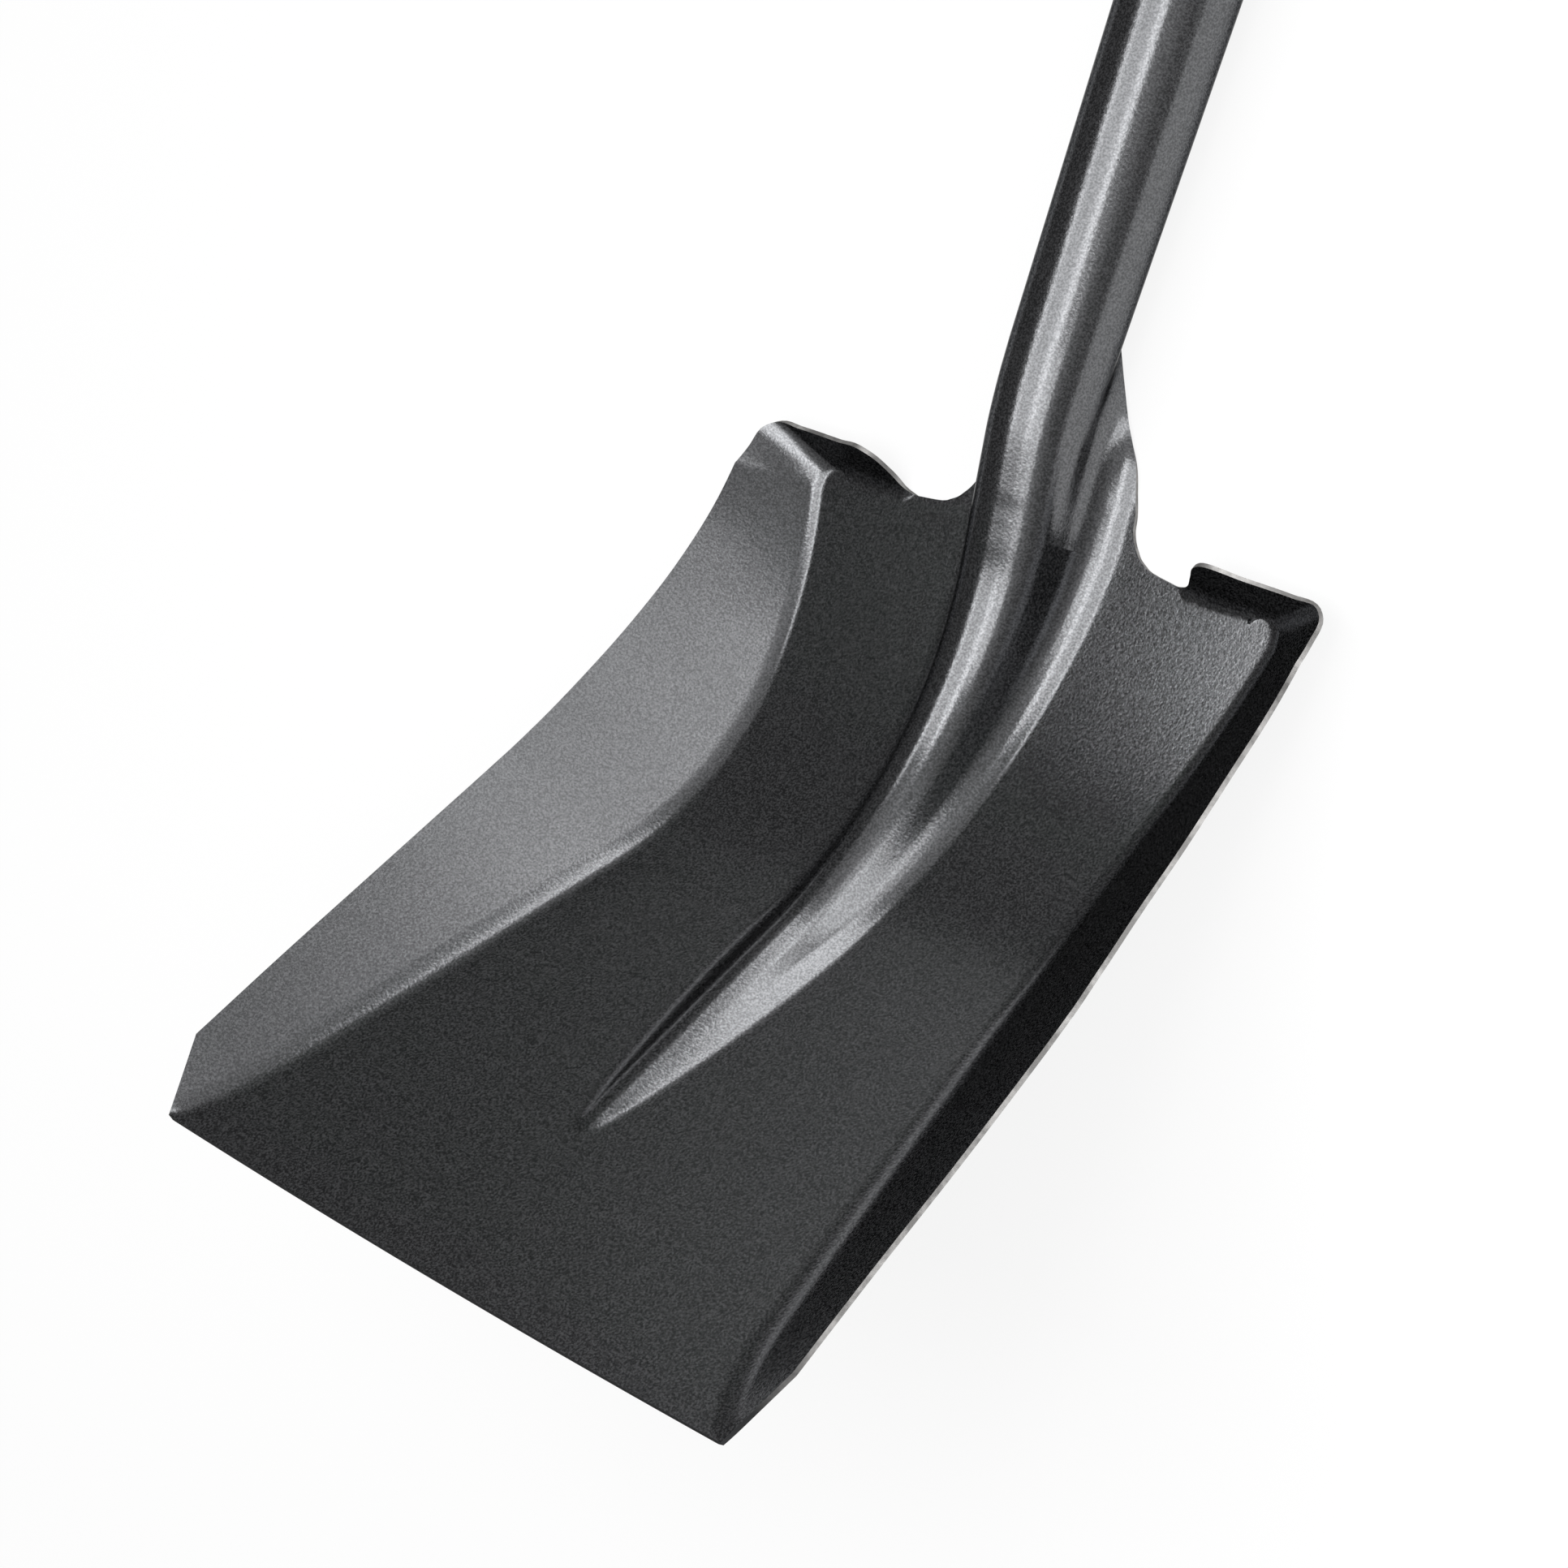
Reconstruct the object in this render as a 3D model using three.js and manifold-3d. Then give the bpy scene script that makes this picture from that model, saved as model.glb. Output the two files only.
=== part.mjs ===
import * as THREE from 'three';
import { mergeVertices } from 'three/addons/utils/BufferGeometryUtils.js';
import Module from 'manifold-3d';

const wasm = await Module();
wasm.setup();

// A square mouth shovel that lies on its heel and its grip, hollow side up.
// X runs across it, Y from the mouth to the grip and Z up. Lengths are in millimetres.

// Blade: one pressed sheet that makes the pan, the side walls, the back lips, the frog and the socket.
const mouthWidth = 240;
const panLength = 315.4; // along the sheet, from the mouth to the foot of the back lips
const flatRun = 159; // straight sheet behind the mouth
const heelRun = 6; // flat sheet that rests on the ground
const bendAngle = 47.16; // degrees from the mouth's sheet to the heel
const sheet = 1.5;
const heelWear = 0.02; // rubbed off the heel's underside, which makes it flat
const mouthBow = 1.5; // by which the middle of the mouth's edge stands before its corners
const chamferRun = 24.5; // the walls' slanted ends at the mouth
const wallRise = 33.7;
const foldRadius = 8;
const mouthFoldRadius = 18; // where the folds run out at the mouth
const cornerRadius = 9; // in plan, where a wall turns into a back lip
const lipRise = 15.2;
const lipSetback = 8.4; // how far a lip's edge leans behind its foot
const notchHalf = 54; // from the middle to the inner end of a back lip

// Frog and neck: the ridge that rises out of the pan and closes into the socket.
const frogRise = 29.5; // its crown above the pan at the lips
const crownRadius = 16;
const rootRadius = 13.8; // the hollow fillet between the frog and the pan
const neckLength = 87; // from the lips to where the neck has closed to a tube
const flankLength = 7; // the straight stretch of a flank at the lips
const flangeWidth = 23.5; // flat sheet beside the neck at the lips

// Socket: a tube with its seam at the back, wider towards the shaft.
const socketLength = 247; // from the lips to its open end
const socketStart = 57; // where its straight axis begins, behind the lips
const socketRise = 20.6; // its axis above the pan there
const socketRadius = 17; // outside, there
const socketFlare = 0.0168; // growth of the radius for each millimetre
const seamGap = 1.2;
const seamRun = 40; // over which the seam closes

// Handle
const clearance = 0.3; // between pieces that touch
const gripReach = 727; // from the lips to the axis of the crosspiece
const shaftStart = 60; // the shaft's lower end, behind the lips
const shaftRadius = 17.6;
const shaftNeckRadius = 16.4; // where it enters the yoke
const tenonRadius = 14.4; // turned down to take the yoke
const tenonGap = 3; // from the tenon's end to the fork
const shaftChamfer = 2;

// Grip: a yoke of two pressed halves that holds a turned crosspiece on a rod.
const yokeLength = 150; // from its open end to the axis of the crosspiece
const yokeSheet = 1.5;
const yokeHalfWidth = 58; // from the middle to an arm's centre at the crosspiece
const forkStart = 98; // where the arms leave the neck, before the crosspiece
const forkRun = 60; // over which they spread
const armHalfWidth = 7;
const armHalfDepth = 13;
const eyeRadius = 19;
const gripRadius = 15.5;
const gripSwell = 1.2;
const gripChamfer = 1.5;
const gripSeat = 3; // from the crosspiece's end to the arm's outer sheet

// Fasteners
const rodRadius = 3;
const rodHeadRadius = 5.4;
const rodHeadRise = 2.6;
const washerRadius = 8;
const washerThickness = 1.4;
const socketRivetRadius = 3;
const socketRivetHead = 6.2;
const socketRivetRise = 2.6;
const socketRivetInsets = [55, 21]; // before the socket's open end
const yokeRivetRadius = 2.4;
const yokeRivetHead = 4.8;
const yokeRivetRise = 2;
const yokeRivetShares = [0.75, 0.25]; // along the yoke's neck, from the fork to its open end

const weld = 0.001; // vertices nearer than this are one
const overrun = 2; // by which every cutter passes the face that it cuts

// Rows: along the pan, half width of the pan, half width of the rim, height of the rim.
// The shares follow the pan length, half the mouth width twice and the wall rise.
const wallShares = [
  [0, 1, 1.085, 0.226],
  [0.02, 0.969, 1.082, 0.253],
  [0.078, 0.908, 1.072, 0.332],
  [0.192, 0.841, 1.053, 0.487],
  [0.32, 0.775, 1.032, 0.641],
  [0.447, 0.713, 1.007, 0.807],
  [0.559, 0.663, 0.982, 0.955],
  [0.639, 0.648, 0.968, 1],
  [0.735, 0.658, 0.958, 0.958],
  [0.831, 0.702, 0.952, 0.843],
  [0.927, 0.758, 0.957, 0.665],
  [1, 0.808, 0.965, 0.531],
];

// The rim round a back corner and along a lip to the notch.
// Rows: across, set back, rise, as shares of half the mouth width, the lip setback and the lip rise.
const cornerRimShares = [
  [0.958, -0.25, 1.06],
  [0.952, 0.62, 0.87],
  [0.923, 0.97, 0.75],
  [0.85, 1, 0.67],
];
const lipRimShares = [
  [0.7, 1, 0.71],
  [0.577, 1, 1],
  [0.549, 0.87, 0.84],
  [0.516, 0.5, 0.44],
  [0.485, 0.11, 0.1],
  [0.465, 0.02, 0.018],
];

// Rows: along the pan, rise of the crown, crown radius, root radius, steepest slope of the flank.
// The shares follow the pan length, the frog rise, the crown radius and the root radius.
const frogShares = [
  [0.211, 0, 0.56, 0.72, 16],
  [0.24, 0.04, 0.69, 0.87, 20],
  [0.32, 0.12, 0.75, 1, 28],
  [0.447, 0.254, 0.69, 0.97, 38],
  [0.575, 0.39, 0.66, 0.8, 52],
  [0.703, 0.536, 0.71, 0.8, 60],
  [0.831, 0.705, 0.81, 0.87, 66],
  [0.958, 0.915, 0.96, 0.96, 73],
  [1, 1, 1, 1, 77],
];

// Rows: along the neck, rise of the crown, slope of the flank and of the sheet's edge in degrees,
// flank, root radius, flange. The shares follow the neck length, the frog rise, the flank length,
// the root radius and the flange width.
const neckShares = [
  [0, 1, 77, 0, 0.94, 1, 1],
  [0.012, 1.007, 78, 0, 0.89, 1, 0.61],
  [0.034, 1.02, 79, 0, 0.88, 0.99, 0.39],
  [0.075, 1.044, 81, 0, 0.84, 0.985, 0.215],
  [0.126, 1.078, 84, 0, 0.765, 0.98, 0.1],
  [0.184, 1.112, 87, 0, 0.71, 0.965, 0.06],
  [0.259, 1.156, 91, 5, 0.61, 0.94, 0.035],
  [0.345, 1.203, 95, 12, 0.64, 0.87, 0.03],
  [0.494, 1.252, 105, 48, 0.57, 0.87, 0.02],
  [0.655, 1.2745, 125, 85, 0.36, 0.87, 0],
  [0.828, 1.3, 150, 130, 0.21, 0.87, 0],
  [1, 1.31, 168, 168, 0, 0.87, 0],
];

// The heights at which a rivet's head is divided, as shares of its rise.
const domeShares = [0, 0.55, 0.9, 1];

// The rounded end of the yoke's neck: along it, and its radius as a share of the neck's.
const neckEndShares = [[0, 1], [0.5, 0.9], [1, 0.6]];

// Places along half of the crosspiece's barrel.
const barrelShares = [-1, -0.8, -0.4, 0, 0.4, 0.8, 1];

const longGapShare = 0.15; // of the neck's length, from which a step of its table is halved
const eyeTipShare = 0.02; // what is left of an arm's section at the end of its eye

// How finely the curved surfaces are divided.
const chamferSteps = 2;
const panSteps = 22;
const heelSteps = 3;
const frogSteps = [5, 1, 4, 2]; // over the crown, the flank, the root and the flange
const socketSteps = 3;
const cornerSteps = cornerRimShares.length;
const foldSteps = 3;
const wallSteps = 1;
const turnSteps = 24;
const pinSteps = 16;
const armSteps = 10;
const eyeSteps = 4;
const armTurn = 14;

// Worked out from the sizes above.
const half = mouthWidth / 2;
const bend = THREE.MathUtils.degToRad(bendAngle);
const bendEnd = panLength - heelRun;
const bendRadius = (bendEnd - flatRun) / bend;
const panTop = sheet - heelWear; // the heel's upper face above the ground
const gripAxis = panLength + gripReach;
const axisStart = panLength + socketStart;
const axisSlope = (eyeRadius - panTop - socketRise) / (gripAxis - axisStart);
const tilt = Math.atan(axisSlope);
const socketRivetPlaces = socketRivetInsets.map((inset) => socketLength - inset);
const yokeNeckLength = yokeLength - forkStart;
const tenonLength = yokeNeckLength - tenonGap;
const yokeRivetPlaces = yokeRivetShares.map((share) => forkStart + yokeNeckLength * share);
const axisRise = (along) => socketRise + (along - axisStart) * axisSlope;
const tubeRadius = (along) => socketRadius + (along - axisStart) * socketFlare;

// A smooth curve through the rows of a table, each joined to the next by a cubic.
function through(rows, column, at) {
  const last = rows.length - 1;
  const x = (i) => rows[i][0];
  const y = (i) => rows[i][column];
  const chord = (i) => (y(i + 1) - y(i)) / (x(i + 1) - x(i));
  const slope = (i) => {
    if (i === 0) return chord(0);
    if (i === last) return chord(last - 1);
    const before = x(i) - x(i - 1);
    const after = x(i + 1) - x(i);
    return (chord(i - 1) * after + chord(i) * before) / (before + after);
  };
  const place = THREE.MathUtils.clamp(at, x(0), x(last));
  let k = 0;
  while (k < last - 1 && place >= x(k + 1)) k += 1;
  const span = x(k + 1) - x(k);
  const t = (place - x(k)) / span;
  const u = 1 - t;
  const ends = u * u * (1 + 2 * t) * y(k) + t * t * (3 - 2 * t) * y(k + 1);
  return ends + t * u * (u * slope(k) - t * slope(k + 1)) * span;
}

// A point of the shovel from its place across, along the sheet and above the pan.
function place(across, along, above) {
  const bow = mouthBow * (across / half) ** 2 * Math.max(1 - along / chamferRun, 0);
  const turn = THREE.MathUtils.clamp((bendEnd - along) / bendRadius, 0, bend);
  const radius = bendRadius - above;
  const ahead = Math.max(flatRun - along - bow, 0);
  const behind = Math.max(along - bendEnd, 0);
  return new THREE.Vector3(
    across,
    behind - radius * Math.sin(turn) - ahead * Math.cos(turn),
    panTop + bendRadius - radius * Math.cos(turn) + ahead * Math.sin(turn),
  );
}

// Half of a cross section through the frog, the neck or the socket, from the crown to the sheet's edge:
// an arc over the crown, a straight flank, a hollow arc back to the edge's slope, and a flat flange.
function frogSection(along) {
  const share = along / panLength;
  const behind = along - panLength;
  const radians = (degrees) => THREE.MathUtils.degToRad(degrees);
  let rise;
  let crown;
  let root;
  let slope;
  let edge = 0;
  let flank;
  let flange;
  let squash = 1;
  if (behind <= 0) {
    rise = frogRise * through(frogShares, 1, share);
    crown = crownRadius * through(frogShares, 2, share);
    root = rootRadius * through(frogShares, 3, share);
    slope = radians(through(frogShares, 4, share));
    const arcs = (crown + root) * (1 - Math.cos(slope));
    flank = Math.max((rise - arcs) / Math.sin(slope), 0);
    squash = Math.min(rise / arcs, 1);
    flange = notchHalf - (crown + root) * Math.sin(slope) - flank * Math.cos(slope);
  } else {
    const part = behind / neckLength;
    const closed = THREE.MathUtils.smoothstep(behind, 0, socketStart);
    const tube = axisRise(along) + tubeRadius(along);
    rise = along < axisStart ? frogRise * through(neckShares, 1, part) : tube;
    crown = THREE.MathUtils.lerp(crownRadius, tubeRadius(along), closed);
    const seam = Math.asin(seamGap / 2 / tubeRadius(along));
    const closing = THREE.MathUtils.clamp((behind - neckLength) / seamRun, 0, 1);
    const openSlope = radians(through(neckShares, 2, part));
    slope = THREE.MathUtils.lerp(openSlope, Math.PI - seam, closing);
    edge = part < 1 ? radians(through(neckShares, 3, part)) : slope;
    flank = flankLength * Math.max(through(neckShares, 4, part), 0);
    root = rootRadius * through(neckShares, 5, part);
    flange = flangeWidth * Math.max(through(neckShares, 6, part), 0);
  }
  const lengths = [crown * slope, flank, root * (slope - edge), flange];
  return { rise, crown, root, slope, edge, squash, lengths };
}

// The section's point at a distance along it.
function frogPoint(section, along, distance) {
  const { rise, crown, root, slope, edge, squash, lengths } = section;
  const run = lengths.map((length, i) => {
    const before = lengths.slice(0, i).reduce((sum, value) => sum + value, 0);
    return THREE.MathUtils.clamp(distance - before, 0, length);
  });
  const onCrown = run[0] / crown;
  const onRoot = slope - run[2] / root;
  const across =
    crown * Math.sin(onCrown) + run[1] * Math.cos(slope) +
    root * (Math.sin(slope) - Math.sin(onRoot)) + run[3] * Math.cos(edge);
  const drop =
    crown * (1 - Math.cos(onCrown)) + run[1] * Math.sin(slope) +
    root * (Math.cos(onRoot) - Math.cos(slope)) + run[3] * Math.sin(edge);
  return place(across, along, rise - drop * squash);
}

// A row of the middle grid. Beside the frog the points keep to its crown, flank, root and flange,
// and round the socket they are spread evenly.
function frogRow(along) {
  const section = frogSection(along);
  const total = section.lengths.reduce((sum, value) => sum + value, 0);
  const even = THREE.MathUtils.smoothstep(along - panLength, 0, neckLength / 3);
  const row = [];
  let start = 0;
  frogSteps.forEach((steps, i) => {
    for (let k = 0; k < steps; k += 1) row.push(start + (section.lengths[i] * k) / steps);
    start += section.lengths[i];
  });
  row.push(total);
  return row.map((kept, j) => {
    const distance = THREE.MathUtils.lerp(kept, (total * j) / (row.length - 1), even);
    return frogPoint(section, along, distance);
  });
}

// Places along the sheet: even steps over the chamfer, then even steps to the end.
function panPlaces(end, steps) {
  const places = [];
  for (let i = 0; i < chamferSteps; i += 1) places.push((chamferRun * i) / chamferSteps);
  for (let i = 0; i <= steps; i += 1) places.push(chamferRun + ((end - chamferRun) * i) / steps);
  return places;
}

// Places along the middle, with a few more over the flat heel.
function middlePlaces() {
  const places = panPlaces(bendEnd, panSteps - heelSteps);
  for (let i = 1; i <= heelSteps; i += 1) places.push(bendEnd + (heelRun * i) / heelSteps);
  return places;
}

// The tray's outline: for each station the foot of the fold and the rim, as across, along and above.
function trayOutline() {
  const cornerStart = panLength - cornerRadius;
  const stations = panPlaces(cornerStart, panSteps - cornerSteps / 2).map((along) => {
    const share = along / panLength;
    const chamferShare = Math.max(share, chamferRun / panLength);
    const end = Math.min(along / chamferRun, 1);
    const rim = half * through(wallShares, 2, chamferShare);
    const rise = wallRise * through(wallShares, 3, chamferShare);
    return {
      foot: [half * through(wallShares, 1, share), along],
      rim: [THREE.MathUtils.lerp(half, rim, end), along, rise * end],
    };
  });
  const outer = stations[stations.length - 1].foot[0];
  const inner = half * through(wallShares, 1, 1) - cornerRadius;
  const rimAt = ([across, back, rise]) => [half * across, panLength + lipSetback * back, lipRise * rise];
  cornerRimShares.forEach((shares, i) => {
    const turn = (Math.PI / 2) * ((i + 1) / cornerSteps);
    stations.push({
      foot: [inner + (outer - inner) * Math.cos(turn), cornerStart + cornerRadius * Math.sin(turn)],
      rim: rimAt(shares),
    });
  });
  lipRimShares.forEach((shares) => {
    stations.push({ foot: [half * shares[0], panLength], rim: rimAt(shares) });
  });
  stations.push({ foot: [notchHalf, panLength], rim: [notchHalf, panLength, 0] });
  return stations;
}

// One row of the wall: round the fold and straight up to the rim. Where the wall is lower than the
// fold, the row is an arc that ends at the rim.
function wallRow({ foot, rim }) {
  const start = new THREE.Vector3(foot[0], foot[1], 0);
  const out = new THREE.Vector3(rim[0] - foot[0], rim[1] - foot[1], 0);
  const flat = out.length();
  out.normalize();
  const mouth = 1 - THREE.MathUtils.smoothstep(foot[1], 0, flatRun);
  const radius = THREE.MathUtils.lerp(foldRadius, mouthFoldRadius, mouth);
  const lean = Math.atan2(rim[2], flat);
  const turn = Math.min(lean, Math.acos(Math.max(1 - rim[2] / radius, 0)));
  const low = turn < lean;
  const tangent = low ? radius * Math.sin(turn) - flat : radius * Math.tan(lean / 2);
  const arc = radius * turn;
  const straight = low ? 0 : Math.hypot(flat, rim[2]) - tangent;
  const total = arc + straight;
  const steps = foldSteps + wallSteps;
  const onFold = Math.min(total > 0 ? arc / total : 0, foldSteps / steps);
  const row = [];
  for (let i = 0; i <= steps; i += 1) {
    const onWall = onFold + ((1 - onFold) * (i - foldSteps)) / wallSteps;
    const run = total * (i < foldSteps ? (onFold * i) / foldSteps : onWall);
    const bent = Math.min(run, arc) / radius;
    const rest = Math.max(run - arc, 0);
    const point = start.clone();
    point.addScaledVector(out, radius * Math.sin(bent) - tangent + rest * Math.cos(turn));
    point.z += radius * (1 - Math.cos(bent)) + rest * Math.sin(turn);
    row.push(point);
  }
  return row;
}

// Triangles between the rows of a grid of points.
function addGrid(sheetPoints, rows) {
  for (let i = 1; i < rows.length; i += 1) {
    for (let j = 1; j < rows[i].length; j += 1) {
      const corners = [rows[i - 1][j - 1], rows[i - 1][j], rows[i][j], rows[i][j - 1]];
      sheetPoints.push(corners[0], corners[1], corners[2], corners[0], corners[2], corners[3]);
    }
  }
}

// The front surface of the blade's right half, as a list of triangle corners.
function bladeHalf() {
  const points = [];
  const middle = middlePlaces();
  const neck = [];
  neckShares.slice(1).forEach((row, i) => {
    const before = neckShares[i][0];
    if (row[0] - before > longGapShare) neck.push(panLength + (neckLength * (row[0] + before)) / 2);
    neck.push(panLength + neckLength * row[0]);
  });
  const closed = panLength + neckLength;
  const top = panLength + socketLength;
  const tube = [closed + seamRun / 2, closed + seamRun];
  for (let i = 1; i <= socketSteps; i += 1) {
    tube.push(THREE.MathUtils.lerp(closed + seamRun, top, i / socketSteps));
  }
  addGrid(points, [...middle, ...neck, ...tube].map(frogRow));

  const outline = trayOutline();
  const walls = outline.map(wallRow);
  const toPlace = (point) => place(point.x, point.y, point.z);
  addGrid(points, walls.map((row) => row.map(toPlace)));

  // The flat sheet between the frog and the fold is stretched between its four sides.
  const rows = middle.length - 1;
  const columns = walls.length - 1 - rows;
  const side = (i) => walls[i][0];
  const inner = (i) => new THREE.Vector3(notchHalf, middle[i], 0);
  const back = (j) => walls[walls.length - 1 - j][0];
  const pan = [];
  for (let i = 0; i <= rows; i += 1) {
    const row = [];
    for (let j = 0; j <= columns; j += 1) {
      const u = middle[i] / panLength;
      const v = (back(j).x - notchHalf) / (side(rows).x - notchHalf);
      const across = inner(i).lerp(side(i), v);
      const along = inner(0).lerp(side(0), v).lerp(back(j), u);
      const corners = inner(0).lerp(side(0), v).lerp(inner(rows).lerp(side(rows), v), u);
      row.push(toPlace(across.add(along).sub(corners)));
    }
    pan.push(row);
  }
  addGrid(points, pan);
  return points;
}

// A closed solid of even thickness from the triangles of its front surface.
function thicken(corners, thickness) {
  const flat = new THREE.BufferGeometry().setFromPoints(corners);
  const merged = mergeVertices(flat, weld);
  const place3 = merged.attributes.position;
  const faces = [];
  for (let i = 0; i < merged.index.count; i += 3) {
    const face = [merged.index.getX(i), merged.index.getX(i + 1), merged.index.getX(i + 2)];
    if (new Set(face).size === 3) faces.push(face);
  }
  merged.setIndex(faces.flat());
  merged.computeVertexNormals();
  const normals = merged.attributes.normal;
  const count = place3.count;
  const solid = [];
  for (let i = 0; i < count; i += 1) solid.push(new THREE.Vector3().fromBufferAttribute(place3, i));
  for (let i = 0; i < count; i += 1) {
    const normal = new THREE.Vector3().fromBufferAttribute(normals, i);
    solid.push(solid[i].clone().addScaledVector(normal, -thickness));
  }
  const edges = new Set();
  faces.forEach(([a, b, c]) => [[a, b], [b, c], [c, a]].forEach((edge) => edges.add(edge.join())));
  const index = [];
  faces.forEach(([a, b, c]) => {
    index.push(a, b, c, a + count, c + count, b + count);
    [[a, b], [b, c], [c, a]].forEach(([from, to]) => {
      if (!edges.has([to, from].join())) {
        index.push(to, from, from + count, to, from + count, to + count);
      }
    });
  });
  const geometry = new THREE.BufferGeometry().setFromPoints(solid);
  geometry.setIndex(index);
  return geometry;
}

// Conversions between a geometry and a solid that can be cut and joined.
function toSolid(geometry) {
  const bare = geometry.clone();
  bare.deleteAttribute('normal');
  bare.deleteAttribute('uv');
  const merged = mergeVertices(bare, weld);
  return new wasm.Manifold(new wasm.Mesh({
    numProp: 3,
    vertProperties: new Float32Array(merged.attributes.position.array),
    triVerts: new Uint32Array(merged.index.array),
  }));
}

function toGeometry(solid) {
  const mesh = solid.getMesh();
  const geometry = new THREE.BufferGeometry();
  geometry.setAttribute('position', new THREE.BufferAttribute(mesh.vertProperties.slice(), 3));
  geometry.setIndex(new THREE.BufferAttribute(mesh.triVerts.slice(), 1));
  geometry.computeVertexNormals();
  return geometry;
}

// A turned solid about the Y axis, from its radius and place along the axis.
function turned(profile, steps = turnSteps) {
  const outline = profile.map(([radius, along]) => new THREE.Vector2(radius, along));
  return new THREE.LatheGeometry(outline, steps);
}

const alongX = new THREE.Matrix4().makeRotationZ(-Math.PI / 2);
const alongZ = new THREE.Matrix4().makeRotationX(Math.PI / 2);

// The shaft's axis as a frame: its origin lies on the axis at a place along the sheet.
function onAxis(along) {
  const matrix = new THREE.Matrix4().makeRotationX(tilt);
  return matrix.setPosition(place(0, along, axisRise(along)));
}

// A straight cutter for a fastener's hole.
function drill(radius, reach, turn, at) {
  const rod = turned([[0, -reach], [radius, -reach], [radius, reach], [0, reach]], pinSteps);
  return toSolid(rod.applyMatrix4(turn).applyMatrix4(at));
}

// A rivet with a domed head at each end.
function rivet(radius, headRadius, headRise, halfLength) {
  const dome = domeShares.map((share) => [
    headRadius * Math.sqrt(1 - share * share),
    halfLength + headRise * share,
  ]);
  const upper = [[radius, halfLength], ...dome];
  const lower = upper.map(([across, along]) => [across, -along]).reverse();
  return turned([...lower, ...upper], pinSteps);
}

const socketCutters = socketRivetPlaces.map((behind) => {
  const reach = tubeRadius(panLength + behind) + socketRivetHead;
  return drill(socketRivetRadius + clearance, reach, alongX, onAxis(panLength + behind));
});
const yokeCutters = yokeRivetPlaces.map((before) => (
  drill(yokeRivetRadius + clearance, eyeRadius + overrun, alongZ, onAxis(gripAxis - before))
));
const cut = (solid, cutters) => cutters.reduce((left, cutter) => left.subtract(cutter), solid);

// Blade
function bladeGeometry() {
  const right = bladeHalf();
  const left = [];
  for (let i = 0; i < right.length; i += 3) {
    [right[i], right[i + 2], right[i + 1]].forEach((point) => {
      left.push(new THREE.Vector3(-point.x, point.y, point.z));
    });
  }
  const solid = toSolid(thicken([...right, ...left], sheet));
  const ground = new THREE.BoxGeometry(mouthWidth, panLength, sheet);
  ground.translate(0, 0, -sheet / 2);
  return toGeometry(cut(solid, [...socketCutters, toSolid(ground)]));
}

// Shaft: it tapers into the socket below and is turned down for the yoke above.
function shaftGeometry() {
  const socketTop = panLength + socketLength;
  const shoulder = gripAxis - yokeLength + clearance;
  const bore = (along) => tubeRadius(along) - sheet - clearance;
  const bottom = panLength + shaftStart;
  const local = (along) => along - gripAxis;
  const points = [
    [0, local(bottom)],
    [bore(bottom) - shaftChamfer, local(bottom)],
    [bore(bottom), local(bottom + shaftChamfer)],
    [bore(socketTop), local(socketTop)],
    [shaftRadius, local(socketTop + socketLength / 2)],
    [shaftNeckRadius, local(shoulder - shaftChamfer)],
    [shaftNeckRadius - shaftChamfer / 2, local(shoulder - clearance - clearance)],
    [tenonRadius, local(shoulder - clearance - clearance)],
    [tenonRadius, local(shoulder + tenonLength - shaftChamfer)],
    [tenonRadius - shaftChamfer, local(shoulder + tenonLength)],
    [0, local(shoulder + tenonLength)],
  ];
  const solid = toSolid(turned(points, turnSteps + turnSteps / 3).applyMatrix4(onAxis(gripAxis)));
  return toGeometry(cut(solid, [...socketCutters, ...yokeCutters]));
}

// A closed loft through rings of points, all with as many points.
function loft(rings) {
  const count = rings[0].length;
  const points = rings.flat();
  const index = [];
  for (let i = 1; i < rings.length; i += 1) {
    for (let j = 0; j < count; j += 1) {
      const a = (i - 1) * count + j;
      const b = (i - 1) * count + ((j + 1) % count);
      index.push(a, b, b + count, a, b + count, a + count);
    }
  }
  const middle = (ring) => ring
    .reduce((sum, point) => sum.add(point), new THREE.Vector3())
    .divideScalar(count);
  const first = points.length;
  points.push(middle(rings[0]), middle(rings[rings.length - 1]));
  const end = (rings.length - 1) * count;
  for (let j = 0; j < count; j += 1) {
    const next = (j + 1) % count;
    index.push(first, next, j, first + 1, end + j, end + next);
  }
  const geometry = new THREE.BufferGeometry().setFromPoints(points);
  geometry.setIndex(index);
  return geometry;
}

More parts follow.
